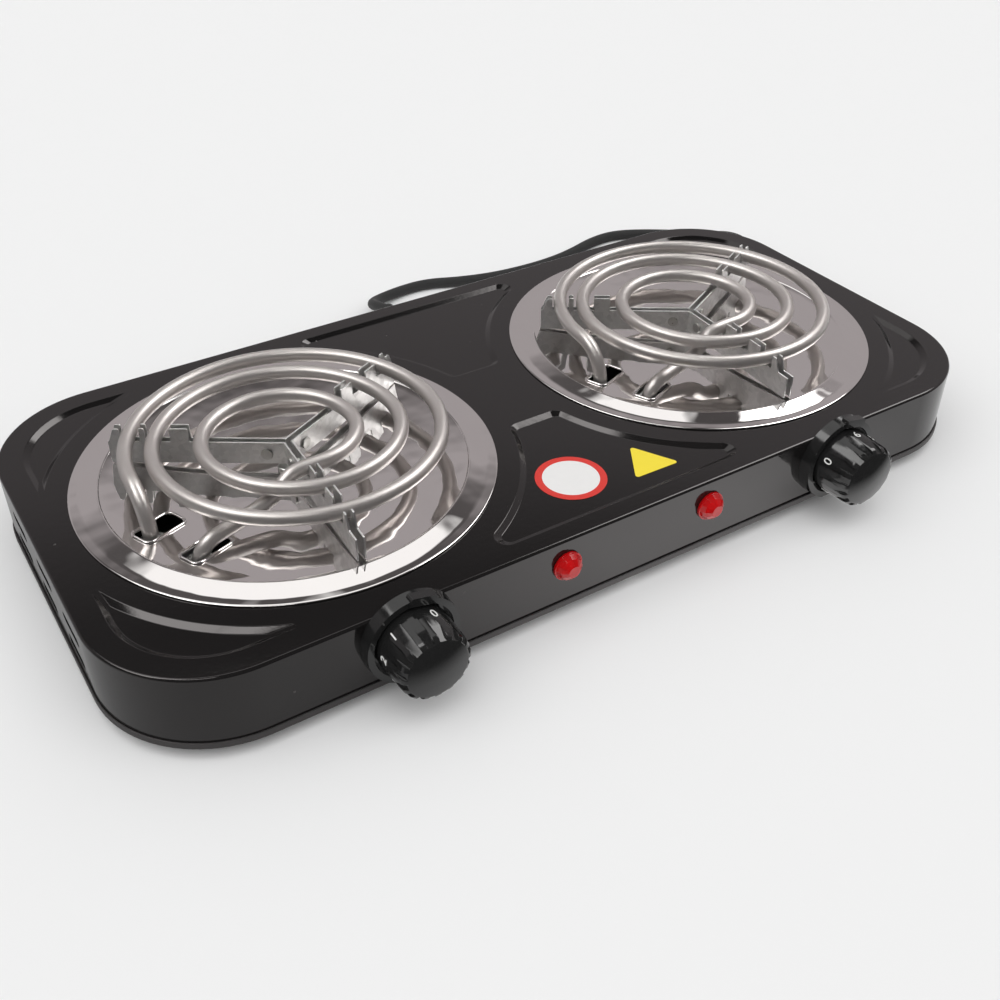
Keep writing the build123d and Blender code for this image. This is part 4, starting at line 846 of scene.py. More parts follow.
class HOTPLATE_OT_stage(bpy.types.Operator):
    """Lay the pale floor, hang the soft lamps and set the world"""
    bl_idname = "hotplate.stage"
    bl_label = "Stage"

    def execute(self, context):
        bpy.ops.mesh.primitive_plane_add(size=FLOOR_SIZE)
        floor = named("floor")
        floor.data.materials.append(finish("pale_floor"))
        for name, azimuth, height, strength in SUNS:
            turn = (0.0, math.radians(90.0 - height), math.radians(azimuth))
            bpy.ops.object.light_add(type="SUN", rotation=turn)
            sun = named(name)
            sun.data.angle = math.radians(SUN_SPREAD)
            sun.data.energy = strength
            sun.visible_glossy = False
        studio_world(context)
        context.scene.view_settings.view_transform = "Standard"
        return {"FINISHED"}


def studio_world(context):
    """Even light on matt surfaces, a room with softboxes in glossy ones, and a plain backdrop."""
    world = bpy.data.worlds.new("studio")
    context.scene.world = world
    made = Recipe(world, "Background")
    along = made.add("ShaderNodeTexCoord", "Generated")
    x, y, z = (made.add("ShaderNodeSeparateXYZ", axis, Vector=along) for axis in "XYZ")
    height = z.join("ARCSINE", z) * math.degrees(1.0)
    turn = x.join("ARCTAN2", 0.0 - x, y) * math.degrees(1.0)
    stops = [((rise + 90.0) / 180.0, colour) for rise, colour in ROOM]
    room = made.add("ShaderNodeValToRGB", "Color", stops=stops, Fac=(height + 90.0) / 180.0)
    side = math.radians(DARK_SIDE)
    toward = x * math.cos(side) + y * math.sin(side)
    dark = (made.spread(toward, -DARK_BLUR, DARK_BLUR, 0.0, 1.0)
            * made.spread(height, -HORIZON_BLUR, HORIZON_BLUR, 0.0, 1.0))
    room = made.mix(dark, room, DARK_LEVEL)
    for turns, heights, level in SOFTBOXES:
        inside = made.band(turn, *turns, SOFTBOX_BLUR) * made.band(height, *heights, SOFTBOX_BLUR)
        room = made.mix(inside, room, (level, level * 0.99, level * 0.98))
    seen, glossy, through = (made.add("ShaderNodeLightPath", f"Is {kind} Ray")
                             for kind in ("Camera", "Glossy", "Transmission"))
    lit = made.mix((glossy + through).clipped(), (FILL, FILL, FILL), room)
    made.set(Color=made.mix(seen, lit, tinted("floor")))


# ---------------------------------------------------------------- cover and tray
TIP_STEPS = 6
ARC_STEPS = 28
PANEL_CORNER_STEPS = 16
PANEL_LIFT = 0.3 * MM               # how far the panels' cutters stand over the top plate
CORNER_TIP = 1.5 * MM               # radius of a corner panel's tips at its rim
CORNER_FLOOR_TIP = 0.8 * MM         # and at its floor
MIDDLE_TIP = 6.0 * MM               # radius of a middle panel's tips at its rim
PANELS = (                          # signs of X and Y, and 0 for a corner panel or 1 for a middle one
    (1, 1, 0), (-1, 1, 0), (1, -1, 0), (-1, -1, 0), (1, 1, 1), (1, -1, 1))
SOFT = 0.25 * MM                    # how far the pressed edges are softened
VENT_ROWS = (12.5 * MM, 24.0 * MM)  # heights over the tray's underside
VENT_SHIFT = 3.0 * MM               # how far the vents stand in front of the body's middle line
VENT_START = 5 * MM                 # how far outside the walls their cutters start
VENT_DEPTH = 12 * MM
TRAY_SLOTS = 6                      # air slots under each burner
TRAY_SLOT_PITCH = 11.0 * MM
TRAY_SLOT_REACH = 20.0 * MM
TRAY_SLOT_RADIUS = 2.0 * MM
TRAY_EDGE = 0.6 * MM                # round edge under the tray


def corner_panel(sizes, inwards, tip):
    """Outline of the panel in the front right corner, about the body's middle, shrunk by a distance."""
    inset = sizes.corner_inset + inwards
    hollow = sizes.panel_arc + inwards
    far_x = COVER_HIGH.x - inset
    far_y = (REAR_Y - FRONT_Y) / 2 - inset
    reach = hollow + tip
    low_x = BURNER_X + math.sqrt(reach ** 2 - (far_y - tip) ** 2)
    high_y = -math.sqrt(reach ** 2 - (far_x - tip - BURNER_X) ** 2)
    low_turn = math.degrees(math.atan2(far_y - tip, BURNER_X - low_x))
    high_turn = math.degrees(math.atan2(-high_y, BURNER_X - far_x + tip))
    round_corner = sizes.corner - inset
    return [
        *arc((low_x, tip - far_y), tip, low_turn, 270.0, TIP_STEPS),
        *arc((far_x - round_corner, round_corner - far_y), round_corner, 270.0, 360.0,
             PANEL_CORNER_STEPS),
        *arc((far_x - tip, high_y), tip, 0.0, high_turn, TIP_STEPS),
        *arc((BURNER_X, 0.0), hollow, high_turn - 180.0, low_turn - 180.0, ARC_STEPS)[1:-1],
    ]


def middle_panel(sizes, inwards, tip):
    """Outline of the panel between the burners in front, about the body's middle, shrunk by a distance."""
    hollow = sizes.panel_arc + inwards
    far_y = (REAR_Y - FRONT_Y) / 2 - sizes.middle_inset - inwards
    near_y = sizes.middle_top + inwards
    reach = hollow + tip
    low_x = BURNER_X - math.sqrt(reach ** 2 - (far_y - tip) ** 2)
    high_x = BURNER_X - math.sqrt(reach ** 2 - (near_y + tip) ** 2)
    low_turn = math.degrees(math.atan2(far_y - tip, BURNER_X - low_x))
    high_turn = math.degrees(math.atan2(near_y + tip, BURNER_X - high_x))
    half = [
        *arc((low_x, tip - far_y), tip, -90.0, low_turn, 2 * TIP_STEPS),
        *arc((BURNER_X, 0.0), hollow, low_turn - 180.0, high_turn - 180.0, ARC_STEPS)[1:-1],
        *arc((high_x, -near_y - tip), tip, high_turn, 90.0, TIP_STEPS),
    ]
    return half + [(-x, y) for x, y in reversed(half)]


def panel_cutters(sizes):
    """Blocks with sloping sides for the six recessed panels."""
    floor, top = PLATE_Z - sizes.panel_depth, PLATE_Z + PANEL_LIFT
    above = -PANEL_LIFT * sizes.panel_rim / sizes.panel_depth
    rims = [corner_panel(sizes, above, CORNER_TIP), middle_panel(sizes, above, MIDDLE_TIP)]
    floors = [corner_panel(sizes, sizes.panel_rim, CORNER_FLOOR_TIP),
              middle_panel(sizes, sizes.panel_rim, MIDDLE_TIP - sizes.panel_rim)]
    cutters = []
    for x_sign, y_sign, shape in PANELS:
        below, over = ([(x_sign * x, MIDDLE_Y + y_sign * y, height) for x, y in outline[shape]]
                       for outline, height in ((floors, floor), (rims, top)))
        cutters.append(lofted("panel_cutter", below, over))
    return cutters


def vent_cutters(sizes):
    """Round-ended blocks through both short sides."""
    cutters = []
    half = sizes.vent_length / 2 - sizes.vent_height / 2
    end = sizes.vent_height / 2
    for row in VENT_ROWS:
        for column in (-1, 0, 1):
            y = MIDDLE_Y - VENT_SHIFT + column * sizes.vent_pitch
            outline = oblong(y, TRAY_LOW.z + row, half, end, 8)
            for side in (-1, 1):
                x = side * (COVER_HIGH.x + VENT_START)
                points = [(x, along, up) for along, up in outline]
                cutters.append(slab("vent_cutter", points, (-side * VENT_DEPTH, 0, 0)))
    return cutters


def soften(test, width, steps):
    """Bevels the sharp edges of the mesh in edit mode that pass a test."""
    if pick("edges", lambda edge: edge.is_manifold and edge.calc_face_angle() > SHARP and test(edge)):
        bpy.ops.mesh.bevel(offset=width, segments=steps, affect="EDGES", clamp_overlap=False)


class HOTPLATE_OT_cover(bpy.types.Operator):
    """Press the cover: walls, top plate, recessed panels, burner openings and vents"""
    bl_idname = "hotplate.cover"
    bl_label = "Cover"

    def execute(self, context):
        sizes = context.scene.hot_plate_cover
        cover = rounded_block("cover", COVER_LOW, COVER_HIGH, sizes.corner, sizes.edge)
        cut(cover, *panel_cutters(sizes))
        with editing(cover):
            soften(at_height(PLATE_Z), SOFT, 2)
            soften(at_height(PLATE_Z - sizes.panel_depth), SOFT, 2)
            pick("faces", lambda face: (face.normal.z < -0.99
                                        and face.calc_center_median().z < COVER_LOW.z + MM))
            bpy.ops.mesh.delete(type="FACE")
        modify(cover, "SOLIDIFY", thickness=sizes.sheet, offset=-1.0)
        for side in SIDES:
            place = (SIGNS[side] * BURNER_X, MIDDLE_Y, PLATE_Z)
            cut(cover, drum("opening_cutter", place, sizes.opening, 10 * MM, 96))
        cut(cover, *vent_cutters(sizes))
        hand_over(cover, "stove_enamel", "chassis", ["body_shell"], smooth=35.0)
        return {"FINISHED"}


class HOTPLATE_OT_tray(bpy.types.Operator):
    """Press the tray: a floor with air slots and a rim that stands outside the cover"""
    bl_idname = "hotplate.tray"
    bl_label = "Tray"

    def execute(self, context):
        sizes = context.scene.hot_plate_cover
        grown = COVER_LOW.x - TRAY_LOW.x
        tray = rounded_block("tray", TRAY_LOW, TRAY_HIGH, sizes.corner + grown)
        with editing(tray):
            pick("faces", lambda face: face.normal.z > 0.99)
            bpy.ops.mesh.inset(thickness=sizes.tray_sheet)
            fall = TRAY_HIGH.z - TRAY_LOW.z - sizes.tray_sheet
            bpy.ops.mesh.extrude_region_move(TRANSFORM_OT_translate={"value": (0, 0, -fall)})
            soften(at_height(TRAY_HIGH.z), SOFT, 2)
            soften(at_height(TRAY_LOW.z), TRAY_EDGE, 3)
        slots = []
        for side in SIDES:
            for row in range(TRAY_SLOTS):
                y = MIDDLE_Y + (row - (TRAY_SLOTS - 1) / 2) * TRAY_SLOT_PITCH
                outline = oblong(SIGNS[side] * BURNER_X, y, TRAY_SLOT_REACH, TRAY_SLOT_RADIUS, 6)
                points = [(along, across, TRAY_LOW.z - MM) for along, across in outline]
                slots.append(slab("slot_cutter", points, (0, 0, 3 * MM)))
        cut(tray, *slots)
        hand_over(tray, "tray_enamel", "chassis", ["base_plate"], smooth=35.0)
        return {"FINISHED"}


# ---------------------------------------------------------------- burners
COIL_START = -66.0 * MM
HALF_TURNS = tuple(radius * MM for radius in (67.5, 62.0, 53.3, 43.2, 33.4, 26.5))
COIL_RISE = 16.0 * MM               # tube centre over the top plate
OUTER_LEG_TURN = 178.0              # where the outer half turn leaves its circle for the leg
OUTER_LEG_RUN = 17.5 * MM
OUTER_LEG_BEND = 17.0 * MM
INNER_LEG = (-55.0 * MM, -37.5 * MM)
INNER_LEG_BEND = 9.0 * MM
LEG_FOOT = 17.0 * MM                # height of the legs' ends over the table
HOLE_SHIFT = 4.5 * MM
HUB_X = 1.5 * MM
ARM_TURNS = (147.0, 27.0, -93.0)
BOLT_BORE = 2.1 * MM
ROUND = 0.5523                      # handle of a quarter turn, as a share of its radius
SHORTEST_HANDLE = 0.1 * MM
PAN_CLEARANCE = 0.05 * MM           # between the pan's lip and the top plate
PAN_HEM = 0.45 * MM                 # how far the lip's edge turns down
PAN_RINGS = 22
PAN_STEPS = 144
HOLE_CORNER = 2.5 * MM
LIP_RADIUS = 0.75 * MM
LIP_GROWTH = 0.3 * MM               # how far the rolled lip's line stands outside its hole
LIP_LIFT = 0.15 * MM
ARM_FOOT = 1.9 * MM                 # height of an arm's underside over the top plate
ARM_TAB = 19.4 * MM                 # heights of the tabs between the turns and outside them
ARM_END_TAB = 19.0 * MM
TAB_WIDTHS = (2 * MM, 8 * MM)       # narrowest and widest tab between two turns
TAB_CLEARANCE = 1.3 * MM            # between a tab and the turns beside it
END_CLEARANCE = 0.6 * MM
END_TAB_FLAT = 2.5 * MM
END_TAB_FOOT = 5 * MM
ARM_CORNER = 0.55 * MM
ARM_SOFT = 0.12 * MM


def outer_leg():
    """Plan of the outer leg, about the burner's middle."""
    turn = math.radians(OUTER_LEG_TURN)
    radius = HALF_TURNS[0]
    return (COIL_START + radius * (1 + math.cos(turn)) - OUTER_LEG_RUN * math.sin(turn),
            radius * math.sin(turn) + OUTER_LEG_RUN * math.cos(turn))


def half_turns():
    """The coil's half turns as (centre x, radius, 1 behind the burner's middle or -1 in front)."""
    turns = []
    x, sign = COIL_START, 1
    for radius in HALF_TURNS:
        turns.append((x + sign * radius, radius, sign))
        x += 2 * sign * radius
        sign = -sign
    return turns


def coil_knots():
    """Knots of the coil's line: place, direction, and how far its handles reach back and on."""
    level = PLATE_Z + COIL_RISE
    leg_x, leg_y = outer_leg()
    bend = OUTER_LEG_BEND
    up, down = (0, 0, 1), (0, 0, -1)
    knots = [
        ((leg_x, leg_y, LEG_FOOT), up, 0, 6 * MM),
        ((leg_x, leg_y, level - bend), up, 6 * MM, ROUND * bend),
    ]
    for index, (x, radius, sign) in enumerate(half_turns()):
        first = 180.0 if sign > 0 else 0.0
        stops = [first - 45.0 * step for step in range(5)]
        if index == 0:
            stops[0] = OUTER_LEG_TURN
        if index == len(HALF_TURNS) - 1:
            stops = stops[:3]
        reaches = [radius * 4 / 3 * math.tan(math.radians(a - b) / 4) for a, b in zip(stops, stops[1:])]
        added = []
        for stop, back, on in zip(stops, [ROUND * bend, *reaches], [*reaches, 4 * MM]):
            turn = math.radians(stop)
            added.append(((x + radius * math.cos(turn), radius * math.sin(turn), level),
                          (math.sin(turn), -math.cos(turn), 0), back, on))
        if index:
            knots[-1] = (*knots[-1][:3], reaches[0])
            del added[0]
        knots += added
    inner_x, inner_y = INNER_LEG
    bend = ROUND * INNER_LEG_BEND
    knots += [
        ((-6.0 * MM, -26.7 * MM, level - 0.4 * MM), (-0.99, -0.03, -0.12), 3 * MM, 5 * MM),
        ((-20.0 * MM, -29.8 * MM, PLATE_Z + 8.6 * MM), (-0.93, -0.23, -0.30), 6 * MM, 8 * MM),
        ((-46.5 * MM, -35.6 * MM, PLATE_Z + 4.5 * MM), (-0.96, -0.21, -0.16), 9 * MM, bend),
        ((inner_x, inner_y, PLATE_Z - 5.2 * MM), down, bend, 6 * MM),
        ((inner_x, inner_y, LEG_FOOT), down, 6 * MM, 0),
    ]
    return knots


def coil_tube(name, tube):
    """The sheathed tube on its line, about the burner's middle."""
    bpy.ops.curve.primitive_bezier_curve_add()
    piece = named(name)
    knots = coil_knots()
    spline = tube_spline(piece, "BEZIER", len(knots), tube, 7)
    for point, (place, heading, back, on) in zip(spline.bezier_points, knots):
        place, heading = Vector(place), Vector(heading).normalized()
        point.co = place
        point.handle_left = place - heading * max(back, SHORTEST_HANDLE)
        point.handle_right = place + heading * max(on, SHORTEST_HANDLE)
    piece.data.resolution_u = 12
    return meshed(piece, name)


def bowl_height(sizes, distance):
    """Height of the bowl over the top plate at a distance from its middle."""
    return (sizes.bowl_rim + sizes.bowl_depth) * (distance / sizes.bowl) ** 2 - sizes.bowl_depth


def eased(points, reach, steps=4):
    """A line of points with each inner corner rounded over a reach to either side."""
    line = [Vector(point) for point in points]
    smooth = [line[0]]
    for before, corner, after in zip(line, line[1:], line[2:]):
        back, on = before - corner, after - corner
        start = corner + back * min(reach / back.length, 0.5)
        stop = corner + on * min(reach / on.length, 0.5)
        for step in range(steps + 1):
            share = step / steps
            smooth.append(start * (1 - share) ** 2 + corner * 2 * share * (1 - share) + stop * share ** 2)
    return [tuple(point) for point in smooth + [line[-1]]]


def pan_section(sizes):
    """Closed section of a drip pan: flat lip, rising ring, step and bowl, with its thickness."""
    lip = PAN_CLEARANCE + sizes.sheet
    top = eased([(sizes.rim, lip - PAN_HEM), (sizes.rim, lip), (sizes.bend, sizes.bend_height),
                 (sizes.step, sizes.step_height), (sizes.bowl, sizes.bowl_rim)], 0.9 * MM)
    for ring in range(1, PAN_RINGS + 1):
        distance = sizes.bowl + (BOLT_BORE - sizes.bowl) * ring / PAN_RINGS
        top.append((distance, bowl_height(sizes, distance)))
    edge = sizes.rim - 0.5 * MM
    under = [(distance, height - sizes.sheet) for distance, height in reversed(top) if distance < edge]
    return top + under + [(edge, PAN_CLEARANCE)]


def hole_places():
    """Middles of the pan's two holes, and their direction in degrees."""
    outer = outer_leg()
    turn = math.atan2(outer[1] + INNER_LEG[1], outer[0] + INNER_LEG[0])
    back = (HOLE_SHIFT * math.cos(turn), HOLE_SHIFT * math.sin(turn))
    return [(x - back[0], y - back[1]) for x, y in (outer, INNER_LEG)], math.degrees(turn)


def hole_outline(sizes, grown):
    """Rounded rectangle of a hole, grown by a margin."""
    half_x, half_y = sizes.hole_length / 2 + grown, sizes.hole_width / 2 + grown
    corner = HOLE_CORNER + grown
    points = []
    for x, y, start in ((1, 1, 0), (-1, 1, 90), (-1, -1, 180), (1, -1, 270)):
        points += arc((x * (half_x - corner), y * (half_y - corner)), corner, start, start + 90, 6)
    return points


def hole_lip(sizes, spot, turn):
    """Rolled lip round a hole, on the bowl's slope."""
    path = hole_outline(sizes, LIP_GROWTH)
    bpy.ops.curve.primitive_bezier_circle_add()
    piece = named("hole_lip")
    spline = tube_spline(piece, "POLY", len(path), LIP_RADIUS, 3)
    spin = Matrix.Rotation(math.radians(turn), 3, "Z")
    for point, (x, y) in zip(spline.points, path):
        place = Vector((*spot, 0)) + spin @ Vector((x, y, 0))
        height = PLATE_Z + bowl_height(sizes, math.hypot(place.x, place.y)) + LIP_LIFT
        point.co = (place.x, place.y, height, 1.0)
    spline.use_cyclic_u = True
    return meshed(piece, "hole_lip")


def drip_pan(sizes):
    """The pressed and plated pan about the burner's middle."""
    pan = turned("drip_pan", pan_section(sizes), Matrix.Translation((0, 0, PLATE_Z)), PAN_STEPS)
    spots, turn = hole_places()
    lips = []
    for spot in spots:
        place = Matrix.Translation((*spot, 0)) @ Matrix.Rotation(math.radians(turn), 4, "Z")
        points = [place @ Vector((x, y, PLATE_Z - 6 * MM)) for x, y in hole_outline(sizes, 0.0)]
        cut(pan, slab("hole_cutter", points, (0, 0, 12 * MM)))
        lips.append(hole_lip(sizes, spot, turn))
    return joined("drip_pan", [pan, *lips])


def turn_crossings(angle):
    """Distances from the hub at which the coil crosses a ray."""
    cos, sin = math.cos(math.radians(angle)), math.sin(math.radians(angle))
    return sorted((x - HUB_X) * cos + math.sqrt(radius ** 2 - ((x - HUB_X) * sin) ** 2)
                  for x, radius, sign in half_turns() if sign * sin > 0)


def arm_outline(sizes, angle, start):
    """Side view of an arm: a strip under the turns with a tab between each two of them."""
    under = COIL_RISE - sizes.tube - 0.05 * MM
    crossings = turn_crossings(angle)
    points = [(start, ARM_FOOT), (start, under)]
    narrowest, widest = TAB_WIDTHS
    clear = sizes.tube + TAB_CLEARANCE
    for near, far in zip(crossings, crossings[1:]):
        width = min(far - near - 2 * clear, widest)
        if width > narrowest:
            spot = (near + far) / 2
            points += [(spot - width / 2, under), (spot - width / 2, ARM_TAB), (spot + width / 2, ARM_TAB),
                       (spot + width / 2, under)]
    outside = crossings[-1] + sizes.tube + END_CLEARANCE
    return points + [(outside, under), (outside, ARM_END_TAB), (outside + END_TAB_FLAT, ARM_END_TAB),
                     (outside + END_TAB_FOOT, under), (sizes.arm_reach, under), (sizes.arm_reach, ARM_FOOT)]


def support_arms(sizes):
    """Six stamped sheets, two to each arm."""
    sheets = []
    inset = sizes.arm_gap / 2
    start = inset / math.tan(math.radians(60)) - sizes.arm_sheet / 2
    for angle in ARM_TURNS:
        for side in (-1, 1):
            points = [(along, 0.0, up) for along, up in arm_outline(sizes, angle, start)]
            sheet = outline_face("arm_sheet", points)
            with editing(sheet):
                bpy.ops.mesh.select_all(action="SELECT")
                bpy.ops.mesh.bevel(offset=ARM_CORNER, segments=3, affect="VERTICES")
                bpy.ops.mesh.select_all(action="SELECT")
                bpy.ops.mesh.extrude_region_move(TRANSFORM_OT_translate={"value": (0, sizes.arm_sheet, 0)})
                outward()
                soften(lambda edge: True, ARM_SOFT, 2)
            out = side * (inset + sizes.arm_sheet / 2) - sizes.arm_sheet / 2
            place = Matrix.Translation((HUB_X, 0, PLATE_Z)) @ Matrix.Rotation(math.radians(angle), 4, "Z")
            sheet.data.transform(place @ Matrix.Translation((0, out, 0)))
            sheets.append(sheet)
    return joined("support_arms", sheets)


def at_burners(piece, name, look, node, smooth=30.0):
    """Hands over one copy of a piece at each burner, for each side's CAD node, and deletes the pattern."""
    for side in SIDES:
        place = Matrix.Translation((SIGNS[side] * BURNER_X, MIDDLE_Y, 0))
        twin = copied(piece, f"{side}_{name}", place)
        hand_over(twin, look, "chassis", [f"{side}_{node}"], smooth)
    bpy.data.objects.remove(piece)


class HOTPLATE_OT_drip_pans(bpy.types.Operator):
    """Spin both drip pans, pierce their holes and roll the lips"""
    bl_idname = "hotplate.drip_pans"
    bl_label = "Drip Pans"

    def execute(self, context):
        pan = drip_pan(context.scene.hot_plate_burner)
        at_burners(pan, "chrome_pan", "bright_chrome", "drip_pan", smooth=40.0)
        return {"FINISHED"}


class HOTPLATE_OT_coils(bpy.types.Operator):
    """Bend both heating coils with their legs"""
    bl_idname = "hotplate.coils"
    bl_label = "Coils"

    def execute(self, context):
        piece = coil_tube("coil_pattern", context.scene.hot_plate_burner.tube)
        at_burners(piece, "coil", "coil_sheath", "heating_coil", smooth=50.0)
        return {"FINISHED"}


class HOTPLATE_OT_supports(bpy.types.Operator):
    """Stamp the arms that carry the coils, and set their rivets"""
    bl_idname = "hotplate.supports"
    bl_label = "Coil Supports"

    def execute(self, context):
        arms = support_arms(context.scene.hot_plate_burner)
        at_burners(arms, "support_arms", "galvanised", "coil_supports")
        for side in SIDES:
            mended(f"{side}_support_rivets", f"{side}_arm_rivets", "zinc_screws", 0.0003)
            mended(f"{side}_pan_bolt", f"{side}_bowl_bolt", "zinc_screws", 0.0003)
        return {"FINISHED"}


# ---------------------------------------------------------------- dials and lamps
POINTER_TURN = 69.0
DIGIT_TURNS = (-2.0, 65.0, 104.0, 150.0, 196.0, 242.0, 288.0)
KNOB_REST = {"left": 0.0, "right": 273.0}       # how far each knob is turned clockwise from off
GRIP_START = 11.0 * MM                          # the flutes start this far behind the knob's crown
FLUTE_DEPTH = 2.8 * MM                          # under the knob's front radius, at the front
FLUTE_HALF_WIDTHS = (2.1 * MM, 1.3 * MM)        # behind and in front
KNOB_HOLLOW = 4.2 * MM                          # from the crown to the floor of the hollow back
KNOB_WALL = 2.2 * MM
KNOB_CHAMFER = 0.3 * MM
KNOB_SOFT = 0.22 * MM
KNOB_STEPS = 96
KNOB_EASE = 2.4 * MM                            # how far the front edge's rounding reaches
DIGIT_SHARE = 0.70                              # height of a digit as a share of its type's size
DIGIT_SINK = 0.02 * MM
DIGIT_RELIEF = 0.1 * MM
DIGIT_PLACE = 6.3 * MM                          # from the skirt's rim to the middle of the numbers


def from_front(side):
    """Matrix that lays a turned piece along a dial's axis, its height forward from the front wall."""
    return Matrix.Translation((DIAL[side].x, FRONT_Y, DIAL[side].z)) @ Matrix.Rotation(math.pi / 2, 4, "X")


def knob_section(sizes):
    """Closed section of the knob, from its axis out: domed face, rounded edge, skirt and hollow back."""
    front = FRONT_Y - KNOB_LOW.y
    back = FRONT_Y - KNOB_HIGH.y
    floor = front - KNOB_HOLLOW
    across = [sizes.front_radius * share / 3 for share in range(4)]
    dome = [(radius, front - radius ** 2 / (2 * sizes.dome)) for radius in across]
    outside = eased([*dome, (sizes.radius, back + KNOB_CHAMFER)], KNOB_EASE)
    return outside + [(sizes.radius - KNOB_CHAMFER, back), (sizes.radius - KNOB_WALL, back),
                      (sizes.front_radius - KNOB_WALL, floor), (0.0, floor)]


def flute_cutters(sizes, side):
    """Wedges that deepen and narrow towards the knob's front."""
    front = FRONT_Y - KNOB_LOW.y
    wedge = block("flute_cutter", (-1.0, 0.0, 0.0), (1.0, 1.0, 1.0))
    for vertex in wedge.data.vertices:
        fore = vertex.co.z > 0.5
        height = front + MM if fore else front - GRIP_START
        floor = sizes.front_radius - FLUTE_DEPTH if fore else sizes.radius + 0.1 * MM
        radius = sizes.radius + 3 * MM if vertex.co.y > 0.5 else floor
        vertex.co = (math.copysign(FLUTE_HALF_WIDTHS[fore], vertex.co.x), radius, height)
    copies = []
    for number in range(sizes.grips):
        turn = math.tau * (number + 0.5) / sizes.grips
        copies.append(copied(wedge, "flute_cutter", Matrix.Rotation(turn, 4, "Z")))
    bpy.data.objects.remove(wedge)
    cutters = joined("flute_cutters", copies)
    cutters.data.transform(from_front(side))
    return cutters


def digit(sizes, side, number, turn):
    """One number printed on the skirt, its top towards the wall."""
    bpy.ops.object.text_add()
    piece = bpy.context.object
    piece.data.body = str(number)
    piece.data.align_x = "CENTER"
    piece.data.align_y = "CENTER"
    piece.data.size = sizes.digit / DIGIT_SHARE
    piece.data.extrude = DIGIT_RELIEF
    piece.data.resolution_u = 4
    piece = meshed(piece, f"{side}_digit_{number}")
    radius = sizes.radius - DIGIT_SINK
    for vertex in piece.data.vertices:
        spin = vertex.co.x / radius
        reach = radius + vertex.co.z
        vertex.co = (reach * math.sin(spin), vertex.co.y, reach * math.cos(spin))
    place = Matrix.Translation((DIAL[side].x, KNOB_HIGH.y - DIGIT_PLACE, DIAL[side].z))
    piece.data.transform(place @ Matrix.Rotation(math.radians(90.0 - turn), 4, "Y"))
    return piece


class HOTPLATE_OT_knobs(bpy.types.Operator):
    """Turn both knobs, cut their flutes and print their numbers"""
    bl_idname = "hotplate.knobs"
    bl_label = "Knobs"

    def execute(self, context):
        sizes = context.scene.hot_plate_dial
        for side in SIDES:
            knob = turned(f"{side}_dial_knob", knob_section(sizes), from_front(side), KNOB_STEPS)
            cut(knob, flute_cutters(sizes, side))
            bevel(knob, KNOB_SOFT, 2, 40.0)
            hand_over(knob, "gloss_phenolic", f"{side}_dial", [f"{side}_knob"],
                      smooth=35.0)
            digits = [digit(sizes, side, number, POINTER_TURN + turn - KNOB_REST[side])
                      for number, turn in enumerate(DIGIT_TURNS)]
            hand_over(joined(f"{side}_digits", digits), "dial_print", f"{side}_dial")
        return {"FINISHED"}


class HOTPLATE_OT_bezels(bpy.types.Operator):
    """Mould the rings round the knobs with their pointers"""
    bl_idname = "hotplate.bezels"
    bl_label = "Bezels"

    def execute(self, context):
        for side in SIDES:
            mended(f"{side}_bezel", f"{side}_dial_bezel", "gloss_phenolic", 0.0005, angle=40.0, steps=3,
                   smooth=35.0)
        return {"FINISHED"}


class HOTPLATE_OT_lamps(bpy.types.Operator):
    """Mould the faceted lenses of the pilot lamps"""
    bl_idname = "hotplate.lamps"
    bl_label = "Pilot Lamps"

    def execute(self, context):
        for side in SIDES:
            mended(f"{side}_lamp_lens", f"{side}_faceted_lens", "red_lens", 0.00018, angle=15.0, smooth=12.0)
        return {"FINISHED"}


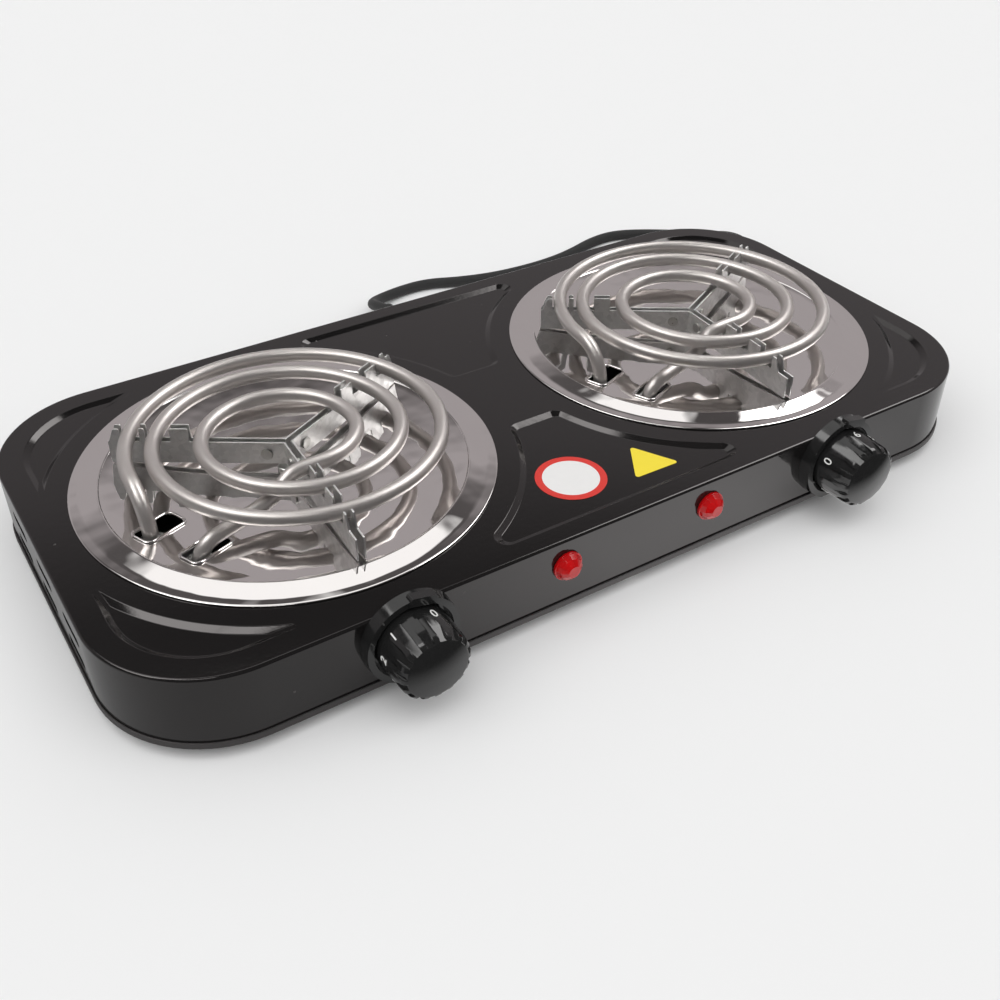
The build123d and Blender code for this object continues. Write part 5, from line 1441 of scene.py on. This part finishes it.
class HOTPLATE_OT_films(bpy.types.Operator):
    """Lay the two plain films on the front middle panel"""
    bl_idname = "hotplate.films"
    bl_label = "Films"

    def execute(self, context):
        mended("round_decal", "round_label", "round_film", 0.00005)
        mended("triangle_decal", "triangle_label", "yellow_film", 0.00005)
        return {"FINISHED"}


class HOTPLATE_OT_fixings(bpy.types.Operator):
    """Give every CAD piece that stays in view its finish, feet and screws among them"""
    bl_idname = "hotplate.fixings"
    bl_label = "Fixings"

    def execute(self, context):
        for node, piece in frame["nodes"].items():
            if piece.hide_render:
                continue
            look = finish(SLOT_FINISHES[SLOTS[node]])
            if piece.material_slots:
                piece.material_slots[0].material = look
            else:
                piece.data.materials.append(look)
        return {"FINISHED"}


OPERATORS = (
    HOTPLATE_OT_camera, HOTPLATE_OT_cord, HOTPLATE_OT_stage, HOTPLATE_OT_cover, HOTPLATE_OT_tray,
    HOTPLATE_OT_drip_pans, HOTPLATE_OT_coils, HOTPLATE_OT_supports, HOTPLATE_OT_knobs, HOTPLATE_OT_bezels,
    HOTPLATE_OT_lamps, HOTPLATE_OT_films, HOTPLATE_OT_fixings,
)


class HOTPLATE_PT_panel(bpy.types.Panel):
    """Sizes, colours and pieces of the hot plate"""
    bl_idname = "HOTPLATE_PT_panel"
    bl_label = "Hot Plate"
    bl_space_type = "VIEW_3D"
    bl_region_type = "UI"
    bl_category = "Hot Plate"

    def draw(self, context):
        for operator in OPERATORS:
            self.layout.operator(operator.bl_idname)
        for name, group in GROUPS.items():
            box = self.layout.box()
            box.label(text=group.__doc__)
            for key in group.__annotations__:
                box.prop(getattr(context.scene, name), key)


def register():
    for part in (*GROUPS.values(), *OPERATORS, HOTPLATE_PT_panel):
        bpy.utils.register_class(part)
    for name, group in GROUPS.items():
        setattr(bpy.types.Scene, name, PointerProperty(type=group))


def unregister():
    for name in GROUPS:
        delattr(bpy.types.Scene, name)
    for part in reversed((*GROUPS.values(), *OPERATORS, HOTPLATE_PT_panel)):
        bpy.utils.unregister_class(part)


def main():
    """Builds everything in order."""
    register()
    for operator in OPERATORS:
        family, name = operator.bl_idname.split(".")
        getattr(getattr(bpy.ops, family), name)()


if __name__ == "__main__":
    main()
